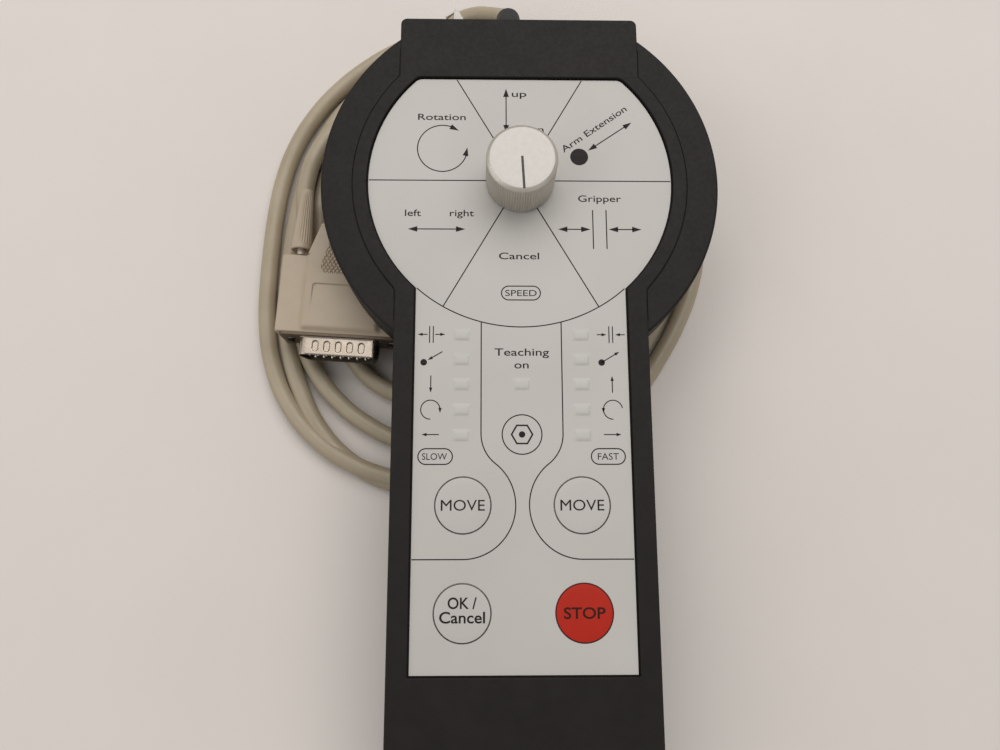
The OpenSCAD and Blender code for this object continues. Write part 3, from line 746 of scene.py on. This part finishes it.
def make_shank(side):
    """The screw's threaded end, its neck and the collar that holds it in the hood."""
    bm = bmesh.new()
    profile = [(0.05, JACK_TIP), (1.1, JACK_TIP), (1.4, JACK_TIP + 0.25)]
    while profile[-1][1] < -1.3:
        profile += [(1.2, profile[-1][1] + 0.15), (1.42, profile[-1][1] + 0.3)]
    profile += [(1.2, -1.0), (1.2, 10.0), (2.25, 10.0), (2.3, 10.05), (2.3, 11.15), (2.25, 11.2), (1.2, 11.2),
                (1.2, HANDLE_Y + 0.9), (0.05, HANDLE_Y + 0.9)]
    lathe(bm, profile, 32, screw_place(side, 0))
    shank = made("jack_shank_" + side, bm, "steel", "thumbscrew_shank_" + side, body="jackscrew_" + side, material=NECK)
    shank.data.materials.append(PAINTED_SHADE)
    to_plug = PLUG_PLACE.inverted()
    for face in shank.data.polygons:
        # Painted shade: the screw's threaded end, in and in front of the flange, takes the dark metal; the rest keeps
        # the neck's finish.
        face.material_index = int((to_plug @ face.center).y < 0)
    return shank


shanks = [make_shank(side) for side in SIDES]


def make_tie():
    """Clear nylon strap round the lead and the second turn, with its locking head and a cut tail outside."""
    bm = bmesh.new()
    outer, inner = Vector((-0.0209, 0.0796, -0.0334)), coil_point(0.99)
    out = outer - inner
    out.z = 0
    out.normalize()
    up, along = Vector((0, 0, 1)), Vector((-out.y, out.x, 0))
    r, foot = (CABLE_R + 0.25) * MM, up * -2.2 * MM
    quarter = [radians(10 * k) for k in range(10)]
    path = [outer + out * r + foot] + [outer + (out * cos(a) + up * sin(a)) * r for a in quarter]
    path += [inner + (up * sin(a) - out * cos(a)) * r for a in reversed(quarter)] + [inner - out * r + foot]
    section = [(-1, 0), (-0.92, 1), (0.92, 1), (1, 0), (0.92, -1), (-0.92, -1)]
    rings = []
    for i, p in enumerate(path):
        ahead = (path[min(len(path) - 1, i + 1)] - path[max(0, i - 1)]).normalized()
        face = along.cross(ahead)
        rings.append([HEAD + p + along * (1.8 * MM * u) + face * (0.22 * MM * v) for u, v in section])
    loft(bm, rings, caps=True)
    # the head stands outside the lead, and the strap's end sticks out of it
    place = Matrix.Translation(HEAD + outer) @ Matrix.Rotation(atan2(out.y, out.x), 4, "Z") @ Matrix.Scale(MM, 4)
    rounded_box(bm, (2.7, -2.0, -1.6), (4.4, 1.9, 2.0), 0.45, place)
    tail = place @ Matrix.Translation((3.5, 1.4, 0.2)) @ turned(38, "Z")
    rounded_box(bm, (-0.35, 0, -1.1), (0.35, 4.4, 1.1), 0.12, tail)
    return made("tie_strap", bm, "tie", "cable_tie", even=True)


tie = make_tie()

nodes = frame["nodes"]

# ---- Housing ----

CORNER = 2.0
# the middle of the fillet between the handle's side and the round platform
FILLET_X = BAR_X + NECK_R
FILLET_Y = sqrt((PLATFORM_R + NECK_R) ** 2 - FILLET_X * FILLET_X)


def bar_outline(d):
    """The straight handle's outline drawn in by d, anticlockwise."""
    half, foot, end, r = BAR_X - d, FOOT_Y + d, END_Y - d, max(CORNER - d, 0.25)
    return mirrored(arc(half - r, foot + r, r, 270, 360, 8) + arc(half - r, end - r, r, 0, 90, 8))


def platform_outline(d):
    """The handle with the round platform and its filleted neck, drawn in by d, anticlockwise."""
    half, foot, end, r = BAR_X - d, FOOT_Y + d, END_Y - d, max(CORNER - d, 0.25)
    radius = PLATFORM_R - d
    lean = degrees(atan2(FILLET_Y, FILLET_X))
    upper = degrees(acos(half / radius))
    right = arc(half - r, foot + r, r, 270, 360, 8) + arc(FILLET_X, -FILLET_Y, NECK_R + d, 180, 180 - lean, 8)
    right += arc(0, 0, radius, -lean, upper, 90)[1:]
    return mirrored(right + arc(half - r, end - r, r, 0, 90, 8))


def panel_outline(d):
    """The panel sheet's outline drawn in by d, anticlockwise."""
    half, radius, top, foot = PANEL_HALF - d, PANEL_R - d, PANEL_TOP - d, PANEL_FOOT + d
    low = degrees(acos(half / radius))
    r, f = 0.5, PANEL_ROUND
    cy = top - f
    cx = sqrt((radius - f) ** 2 - cy * cy)
    high = degrees(atan2(cy, cx))
    right = arc(half - r, foot + r, r, 270, 360, 4) + arc(0, 0, radius, -low, high, 80)
    return mirrored(right + arc(cx, cy, f, high, 90, 10)[1:])


def ring_at(outline, z):
    return [at(x, y, z) for x, y in outline]


def rounding(r, z, count=5):
    """(inset, height) pairs of a rounded top edge that ends flat at z."""
    angles = [pi / 2 * k / count for k in range(count + 1)]
    return [(r - r * cos(a), z - r + r * sin(a)) for a in angles]


SHEET_GAP = 0.5
SHEET_T = 0.5
WALL = 2.5


def add_plate(bm):
    """The top plate: platform, lip round the panel, and the recess that the sheet lies in."""
    outer = loft(bm, [ring_at(platform_outline(d), z) for d, z in [(0.02, CEILING_Z)] + rounding(0.4, LIP_Z)])
    gap = -SHEET_GAP
    steps = [(gap - 0.4, LIP_Z), (gap - 0.14, LIP_Z - 0.1), (gap - 0.02, LIP_Z - 0.4), (gap, -SHEET_T),
             (3.0, -SHEET_T), (3.0, CEILING_Z)]
    inner = loft(bm, [ring_at(panel_outline(d), z) for d, z in steps])
    fill_between(bm, outer[-1], inner[0])
    fill_between(bm, outer[0], inner[-1])


def add_skirt(bm):
    """The handle's side walls, below the top plate."""
    rings = [(0, CEILING_Z), (0, RIM_FOOT_Z + 0.5), (0.1, RIM_FOOT_Z + 0.15), (0.4, RIM_FOOT_Z),
             (WALL - 0.2, RIM_FOOT_Z), (WALL, RIM_FOOT_Z + 0.2), (WALL, CEILING_Z)]
    loft(bm, [ring_at(bar_outline(d), z) for d, z in rings], wrap=True)


def step_radius(angle, out):
    """Distance from the knob's axis, on a ray to the right side, to the platform's foot moved outwards by out."""
    wall = (BAR_X + out) / cos(angle)
    start = atan2(-FILLET_Y, BAR_X + out)
    end = -atan2(FILLET_Y, FILLET_X)
    if start < angle < end:
        along = cos(angle) * FILLET_X - sin(angle) * FILLET_Y
        inside = along * along - (PLATFORM_R + NECK_R) ** 2 + (NECK_R - out) ** 2
        return along - sqrt(max(0.0, inside))
    return max(wall, PLATFORM_R + out) if angle >= end else wall


GROOVE_W = 0.16
GROOVE_Z = 0.3
WING_TIP = acos((BAR_X - 0.8) / RIM_R)
TRENCH_TIP = radians(50.1)


def add_wing(bm, side):
    """One half of the round guard rim, with the groove that runs round the platform's foot."""
    count = 191
    angles = [WING_TIP * (2 * i / count - 1) for i in range(count + 1)]
    foot, top = RIM_FOOT_Z, RIM_TOP_Z

    def round_ring(radius, z):
        return [(radius * cos(a), radius * sin(a), z) for a in angles]

    def step_ring(out, z):
        ring = []
        for a in angles:
            r = step_radius(a, out if abs(a) < TRENCH_TIP else -0.7)
            r = min(r, RIM_R - 1.15)
            ring.append((r * cos(a), r * sin(a), z))
        return ring

    rings = [round_ring(RIM_R - WALL, foot + 0.3), round_ring(RIM_R - WALL + 0.3, foot),
             round_ring(RIM_R - 0.4, foot), round_ring(RIM_R - 0.1, foot + 0.12), round_ring(RIM_R, foot + 0.45)]
    rings += [round_ring(RIM_R - d, z) for d, z in rounding(1.0, top, 6)]
    rings += [step_ring(GROOVE_W + 0.06, top), step_ring(GROOVE_W, top - 0.06), step_ring(GROOVE_W, GROOVE_Z),
              step_ring(-0.5, GROOVE_Z), step_ring(-0.5, CEILING_Z), round_ring(RIM_R - WALL, CEILING_Z)]
    rows = [[at(side * x, y, z) for x, y, z in ring] for ring in rings]
    wing = loft(bm, rows, closed=False, wrap=True)
    for end in (0, -1):
        bm.faces.new([row[end] for row in wing])


def make_housing_front():
    bm = bmesh.new()
    add_plate(bm)
    add_skirt(bm)
    add_wing(bm, 1)
    add_wing(bm, -1)
    made("housing_front", bm, "housing", "front_shell", even=True)


make_housing_front()

# ---- Knob ----

KNOB_TOP_R = KNOB_R - 1.1
FLUTES = 84


def make_knob():
    """Turned aluminium knob: a fine straight knurl below a smooth chamfer, and a faced top."""
    bm = bmesh.new()
    top = KNOB_H
    profile = [(8.6, KNOB_FOOT), (KNOB_R - 0.3, KNOB_FOOT), (KNOB_R - 0.1, KNOB_FOOT + 0.15), (KNOB_R, KNOB_FOOT + 0.4),
               (KNOB_R, 1.5), (KNOB_R, 4.0), (KNOB_R, 8.0), (KNOB_R, 12.0), (KNOB_R, top - 1.5), (KNOB_R, top - 1.15),
               (KNOB_R - 0.03, top - 0.9), (KNOB_R - 0.16, top - 0.72), (KNOB_TOP_R + 0.12, top - 0.09),
               (KNOB_TOP_R, top - 0.02), (KNOB_TOP_R - 0.15, top), (8.0, top - 0.01), (4.0, top - 0.015),
               (0.3, top - 0.015)]

    def knurl(angle, r, z):
        if not 0.7 < z < KNOB_H - 1.4:
            return 0.0
        return -0.26 * (1 - abs(cos(FLUTES * angle / 2)))

    lathe(bm, profile, FLUTES * 4, HEAD_PLACE, knurl)
    obj = made("knob_turned", bm, "knob", "knob_shell", body="selector", sharp=radians(38))
    obj.data.materials.append(KNOB_SIDE)
    side_top = at(0, 0, KNOB_H - 0.08).z
    for face in obj.data.polygons:
        face.material_index = int(face.center.z < side_top)


make_knob()


def make_pointer():
    """Painted line from the middle of the knob's top over its chamfer."""
    bm = bmesh.new()
    turn = turned(3, "Z")
    half = 0.36
    line = [(0.4, KNOB_H + 0.02), (-KNOB_TOP_R + 0.1, KNOB_H + 0.03), (-KNOB_TOP_R - 0.05, KNOB_H - 0.02),
            (-KNOB_TOP_R - 0.35, KNOB_H - 0.42)]
    rings = []
    for y, z in line:
        section = [(-half, -0.25), (-half, 0), (-half + 0.05, 0.03), (half - 0.05, 0.03), (half, 0), (half, -0.25)]
        rings.append([HEAD_PLACE @ turn @ Vector((x, y, z + dz)) for x, dz in section])
    loft(bm, rings, caps=True)
    own(piece("knob_line", bm, POINTER_PAINT), "selector", ("knob_pointer",))


make_pointer()

# ---- Keys and windows ----

KEY_R = 8.2
KEY_STEM_R = 3.0


def make_key(body, slot="key_pale"):
    """A round key with a soft edge and a slight crown, on its stem."""
    node = "key_" + body
    middle = in_mm(centre(node))
    foot = in_mm(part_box(node)[0]).z
    profile = [(0.3, foot), (KEY_STEM_R, foot), (KEY_STEM_R, -SHEET_T), (KEY_R, -SHEET_T), (KEY_R, -0.06),
               (KEY_R - 0.04, 0.03), (KEY_R - 0.14, 0.1), (KEY_R - 0.4, 0.14), (6.0, 0.2), (3.0, 0.24), (0.3, 0.25)]
    bm = bmesh.new()
    lathe(bm, profile, 96, HEAD_PLACE @ Matrix.Translation((middle.x, middle.y, 0)))
    made("cap_" + body, bm, slot, node, body=body)
    return middle


key_spots = {body: make_key(body) for body in ("move_left", "move_right", "confirm")}
key_spots["stop"] = make_key("stop", "key_red")

WINDOW_PITCH = 7.62
WINDOW_TOP_Y = -49.96
WINDOW_X = 18.0


def add_window(bm, x, y):
    """A soft embossed window; its skirt lies over the hole in the sheet."""
    # half width, half height, corner radius and height of each ring, from the skirt to the flat top
    rings = [(2.78, 1.93, 0.1, -0.45), (2.78, 1.93, 0.1, 0.012), (2.62, 1.82, 0.3, 0.025), (2.42, 1.7, 0.8, 0.05),
             (2.26, 1.56, 0.8, 0.13), (2.02, 1.34, 0.75, 0.24), (1.7, 1.05, 0.65, 0.31), (1.2, 0.6, 0.4, 0.35)]
    loft(bm, [ring_at(rounded_rectangle(x, y, hx, hy, r, 6), z) for hx, hy, r, z in rings], caps=True)


def make_windows(name, spots, node):
    bm = bmesh.new()
    for x, y in spots:
        add_window(bm, x, y)
    made(name, bm, "window", node)


def column(x):
    return [(x, WINDOW_TOP_Y - i * WINDOW_PITCH) for i in range(5)]


make_windows("windows_left", column(-WINDOW_X), "speed_windows_left")
make_windows("windows_right", column(WINDOW_X), "speed_windows_right")
make_windows("window_teach", [(0, -65.1)], "teach_window")

# ---- Legends, printed in ink ----

INK_LOW = 0.004
INK_HIGH = 0.03
LINE = 0.34


def text_shape(text, weight):
    """A line of text in the stock font, as a flat bmesh in the font's own units."""
    data = bpy.data.curves.new("text", "FONT")
    data.body = text
    data.offset = weight
    data.resolution_u = 5
    return shape_of(data)


class Print:
    """Collects flat inked shapes, in millimetres in the head's frame, into one thin piece."""

    def __init__(self, lift=0.0):
        self.bm = bmesh.new()
        self.lift = lift

    def prism(self, outline):
        rings = [[at(x, y, self.lift + z) for x, y in outline] for z in (INK_LOW, INK_HIGH)]
        loft(self.bm, rings, caps=True)

    def stroke(self, points, width=LINE, closed=False):
        """A line of even width along the points."""
        pts = [Vector(p) for p in points]
        count = len(pts)
        rows = []
        for i, p in enumerate(pts):
            before = pts[i - 1] if i or closed else p
            after = pts[(i + 1) % count] if i < count - 1 or closed else p
            d = (after - before).normalized()
            side = Vector((-d.y, d.x)) * width / 2
            rows.append((p + side, p - side))
        rings = [[at(a.x, a.y, self.lift + INK_HIGH), at(b.x, b.y, self.lift + INK_HIGH),
                  at(b.x, b.y, self.lift + INK_LOW), at(a.x, a.y, self.lift + INK_LOW)] for a, b in rows]
        loft(self.bm, rings, wrap=closed, caps=not closed)

    def head(self, tip, angle, length=2.9, half=0.92):
        """A filled arrow head whose tip points along angle, in degrees."""
        a = radians(angle)
        along, side = Vector((cos(a), sin(a))), Vector((-sin(a), cos(a)))
        back = Vector(tip) - along * length
        self.prism([tuple(tip), tuple(back + side * half), tuple(back - side * half)])

    def arrow(self, start, end, both=False, length=2.9, half=0.92, width=LINE):
        a, b = Vector(start), Vector(end)
        angle = degrees(atan2(b.y - a.y, b.x - a.x))
        along = (b - a).normalized()
        self.stroke([a + along * (length * 0.8 if both else 0), b - along * length * 0.8], width)
        self.head(b, angle, length, half)
        if both:
            self.head(a, angle + 180, length, half)

    def dot(self, x, y, r):
        self.prism(arc(x, y, r, 0, 348.75, 31))

    def ring(self, x, y, r, width=LINE):
        self.stroke(arc(x, y, r, 0, 356.25, 95), width, closed=True)

    def pill(self, x, y, w, h):
        r = h / 2
        self.stroke(arc(x + w / 2 - r, y, r, -90, 90, 14) + arc(x - w / 2 + r, y, r, 90, 270, 14), LINE, closed=True)

    def words(self, text, x, y, cap, width, turn=0.0, weight=0.006):
        """Text centred on (x, y), scaled to a cap height and a width."""
        flat = text_shape(text, weight)
        xs = [v.co.x for v in flat.verts]
        scale_x, scale_y = width / (max(xs) - min(xs)), cap / CAP_OF_FONT
        place = (Matrix.Translation(at(x, y, self.lift)) @ turned(turn, "Z")
                 @ Matrix.Scale(MM, 4) @ Matrix.Translation((-(max(xs) + min(xs)) / 2 * scale_x, -cap / 2, 0)))
        for v in flat.verts:
            v.co = Vector((v.co.x * scale_x, v.co.y * scale_y, INK_HIGH))
        for v in bmesh.ops.extrude_face_region(flat, geom=flat.faces[:])["geom"]:
            if isinstance(v, bmesh.types.BMVert):
                v.co.z = INK_LOW
        bmesh.ops.transform(flat, matrix=place, verts=flat.verts)
        whole = bpy.data.meshes.new("words")
        flat.to_mesh(whole)
        flat.free()
        self.bm.from_mesh(whole)
        bpy.data.meshes.remove(whole)

    def done(self, name, body="pendant", material=INK):
        own(piece(name, self.bm, material, even=False), body)


CAP_OF_FONT = max(v.co.y for v in text_shape("H", 0.0).verts)
MOVE_X, MOVE_Y = 17.3, -100.8
ZONE_R = 15.3
NECK_LINE_X = 12.1
BLEND_R = 11.2
BLEND_Y = -80.0
ZONE_FOOT_Y = MOVE_Y - ZONE_R


def print_fields():
    """The lines that divide the panel into fields."""
    ink = Print()
    edge = 0.15
    for angle in (0, 60, 120, 180, 240, 300):
        c, s = cos(radians(angle)), sin(radians(angle))
        reach = (PANEL_TOP - edge) / s if s > 0.5 else PANEL_R - edge
        ink.stroke([(10.4 * c, 10.4 * s), (reach * c, reach * s)])
    low = degrees(acos(PANEL_HALF / PANEL_R))
    ink.stroke(arc(0, 0, PANEL_R - 0.1, -low - 0.3, low - 180 + 0.3, 70))
    for side in (-1, 1):
        neck_top = -sqrt((PANEL_R - 0.1) ** 2 - NECK_LINE_X ** 2)
        lean = degrees(atan2(BLEND_Y - MOVE_Y, MOVE_X - NECK_LINE_X + BLEND_R))
        line = [(-NECK_LINE_X, neck_top), (-NECK_LINE_X, BLEND_Y + 3)]
        line += arc(-NECK_LINE_X + BLEND_R, BLEND_Y, BLEND_R, 180, 180 + lean, 14)
        line += arc(-MOVE_X, MOVE_Y, ZONE_R, lean, -90, 40)[1:]
        line += [(-PANEL_HALF + edge, ZONE_FOOT_Y)]
        ink.stroke([(-side * x, y) for x, y in line])
    ink.done("legend_fields")


def print_symbols():
    """Arrows and dots round the knob."""
    ink = Print()
    ink.arrow((-4.3, 16.15), (-4.3, 31.8), both=True)
    ink.arrow((-34.9, -16.2), (-17.1, -16.2), both=True)
    ink.arrow((21.7, 10.4), (35.8, 20.2), both=True)
    ink.dot(18.8, 8.2, 2.85)
    for x in (22.6, 26.8):
        ink.stroke([(x, -9.7), (x, -22.5)])
    ink.arrow((11.7, -16.1), (21.8, -16.1), both=True)
    ink.arrow((27.5, -16.1), (37.7, -16.1), both=True)
    ink.stroke(arc(-24.5, 10.9, 7.9, 68, 345, 60))
    ink.head((-19.4, 17.0), -28)
    ink.head((-16.6, 11.2), 78)
    ink.pill(0, -36.8, 11.9, 4.4)
    ink.pill(-25.5, -86.7, 10.1, 4.6)
    ink.pill(25.3, -86.7, 10.0, 4.6)
    # a plain mark in the place of the maker's: a ring round a hexagon with a dot
    ink.ring(0, -80.2, 5.85)
    ink.stroke(arc(0, -80.2, 3.1, 0, 300, 5), 0.55, closed=True)
    ink.dot(0, -80.2, 0.95)
    ink.done("legend_symbols")


ROW_Y = [WINDOW_TOP_Y + 0.1 - i * WINDOW_PITCH for i in range(5)]
ICON_X = 27.1


def print_rows():
    """The small icon beside each window."""
    ink = Print()
    # row, start and end of each arrow, with heights from the row's middle
    for row, x0, y0, x1, y1 in (
        (0, -28.25, 0, -31.25, 0), (0, -25.95, 0, -22.95, 0), (0, 22.85, 0, 25.8, 0), (0, 31.35, 0, 28.4, 0),
        (1, -23.7, 2.3, -28.1, -0.3), (1, 24.1, -1.0, 29.5, 2.3), (2, -27.1, 2.6, -27.1, -2.6),
        (2, 27.1, -2.6, 27.1, 2.5), (4, -24.5, 0.1, -29.6, 0.1), (4, 24.2, 0.1, 29.4, 0.1),
    ):
        ink.arrow((x0, ROW_Y[row] + y0), (x1, ROW_Y[row] + y1), length=1.5, half=0.5, width=0.3)
    ink.dot(-29.3, ROW_Y[1] - 1.0, 1.0)
    ink.dot(24.1, ROW_Y[1] - 1.0, 1.0)
    for x in (-ICON_X, ICON_X):
        for gap in (-0.55, 0.55):
            ink.stroke([(x + gap, ROW_Y[0] + 2.6), (x + gap, ROW_Y[0] - 2.6)], 0.3)
        ink.stroke(arc(x, ROW_Y[3] - 0.1, 2.85, -90, -350, 30), 0.3)
        ink.head((x - copysign(2.85, x), ROW_Y[3] - 1.1), -90, 1.5, 0.5)
    ink.done("legend_rows")


def print_words():
    """Plain names of the functions, in the stock font."""
    ink = Print()
    # text, place, cap height, width, turn, weight
    for word in (
        ("Rotation", -24.8, 21.7, 2.1, 15.2), ("up", -0.1, 30.0, 2.1, 4.7), ("down", 2.5, 17.6, 2.1, 10.3),
        ("Arm Extension", 23.7, 17.9, 2.1, 25.4, 35.7), ("Gripper", 24.9, -5.9, 2.1, 13.5),
        ("left", -33.4, -10.9, 2.1, 5.0), ("right", -18.2, -10.9, 2.1, 7.5), ("Cancel", -0.5, -24.9, 2.1, 12.4),
        ("SPEED", 0.0, -36.8, 1.9, 9.6, 0.0, 0.0), ("Teaching", 0.1, -55.3, 2.2, 16.4), ("on", 0.0, -59.2, 2.2, 4.3),
        ("SLOW", -25.7, -86.7, 1.9, 7.3, 0.0, 0.0), ("FAST", 25.3, -86.7, 1.9, 6.2, 0.0, 0.0),
    ):
        ink.words(*word)
    ink.done("legend_words")


KEY_FACE = 0.24


def print_key(body, lines, material=INK, weight=0.014):
    """A key's legend and the dark ring near its edge, moving with it."""
    spot = key_spots[body]
    ring = Print(0.09)
    ring.ring(spot.x, spot.y, KEY_R - 0.17, 0.2)
    ring.done("ring_" + body, body)
    ink = Print(KEY_FACE)
    for text, dy, cap, width in lines:
        ink.words(text, spot.x, spot.y + dy, cap, width, weight=weight)
    ink.done("legend_" + body, body, material)


print_fields()
print_symbols()
print_rows()
print_words()
print_key("move_left", [("MOVE", 0, 3.05, 12.7)], weight=0.0)
print_key("move_right", [("MOVE", 0, 3.05, 12.7)], weight=0.0)
print_key("confirm", [("OK /", 2.8, 3.0, 8.2), ("Cancel", -1.1, 3.0, 12.9)])
print_key("stop", [("STOP", 0, 3.0, 11.8)], RED_INK)

# ---- Finishes of the CAD nodes that stay ----

SLOTS = {s["node"]: s["material_slot"] for s in frame["record"]["subparts"]}
SPECIAL = {"plug_insulator": INSULATOR}
ROUNDED = {"rear_shell": 0.35, "housing_screws": 0.15}


def ease_edges(obj, width_mm):
    """Rounds a CAD node's edges after joining its flat triangles."""
    weld = obj.modifiers.new("weld", "WELD")
    weld.merge_threshold = 1e-6
    flat = obj.modifiers.new("flat", "DECIMATE")
    flat.decimate_type = "DISSOLVE"
    flat.angle_limit = radians(0.5)
    bevel = obj.modifiers.new("edges", "BEVEL")
    bevel.width = width_mm * MM
    bevel.segments = 3
    bevel.limit_method = "ANGLE"
    bevel.angle_limit = radians(35)
    even = obj.modifiers.new("even_normals", "WEIGHTED_NORMAL")
    even.keep_sharp = True


for name, obj in nodes.items():
    if obj.hide_render:
        continue
    obj.data.materials.clear()
    obj.data.materials.append(SPECIAL.get(name) or FINISHES[SLOTS[name]])
    if name in ROUNDED:
        ease_edges(obj, ROUNDED[name])

# ---- Floor and light ----


def make_floor():
    bm = bmesh.new()
    half = 3.0
    z = HEAD.z + TABLE_Z * MM
    corners = [(-half, -half), (half, -half), (half, half), (-half, half)]
    bm.faces.new([bm.verts.new((x, y, z)) for x, y in corners])
    paper = finish_of("floor_paper", (0.655, 0.608, 0.572), 0.7, vary=0.015, patch_mm=60, grain_mm=0.8)
    piece("floor", bm, paper, even=False)


make_floor()


def area_light(name, place, target, size, power, colour):
    data = bpy.data.lights.new(name, "AREA")
    data.shape = "RECTANGLE"
    data.size, data.size_y = size
    data.energy = power
    data.color = colour
    light = bpy.data.objects.new(name, data)
    scene.collection.objects.link(light)
    light.location = place
    light.rotation_euler = (Vector(target) - Vector(place)).to_track_quat("-Z", "Y").to_euler()


area_light("key_light", (0.15, 0.75, 1.15), (0, 0.05, 0), (1.7, 1.2), 14.6, (1.0, 0.985, 0.96))
area_light("side_light", (-1.1, -0.1, 0.9), (0, 0, 0), (1.1, 1.1), 4.6, (1.0, 0.985, 0.97))
area_light("fill_light", (0.9, -0.9, 1.0), (0, -0.05, 0), (1.2, 0.9), 0.8, (1.0, 0.99, 0.98))

world = bpy.data.worlds.new("studio")
scene.world = world
world.use_nodes = True
sky = world.node_tree.nodes["Background"]
sky.inputs["Color"].default_value = (1.0, 0.985, 0.965, 1)
sky.inputs["Strength"].default_value = 0.39
scene.view_settings.view_transform = "Standard"
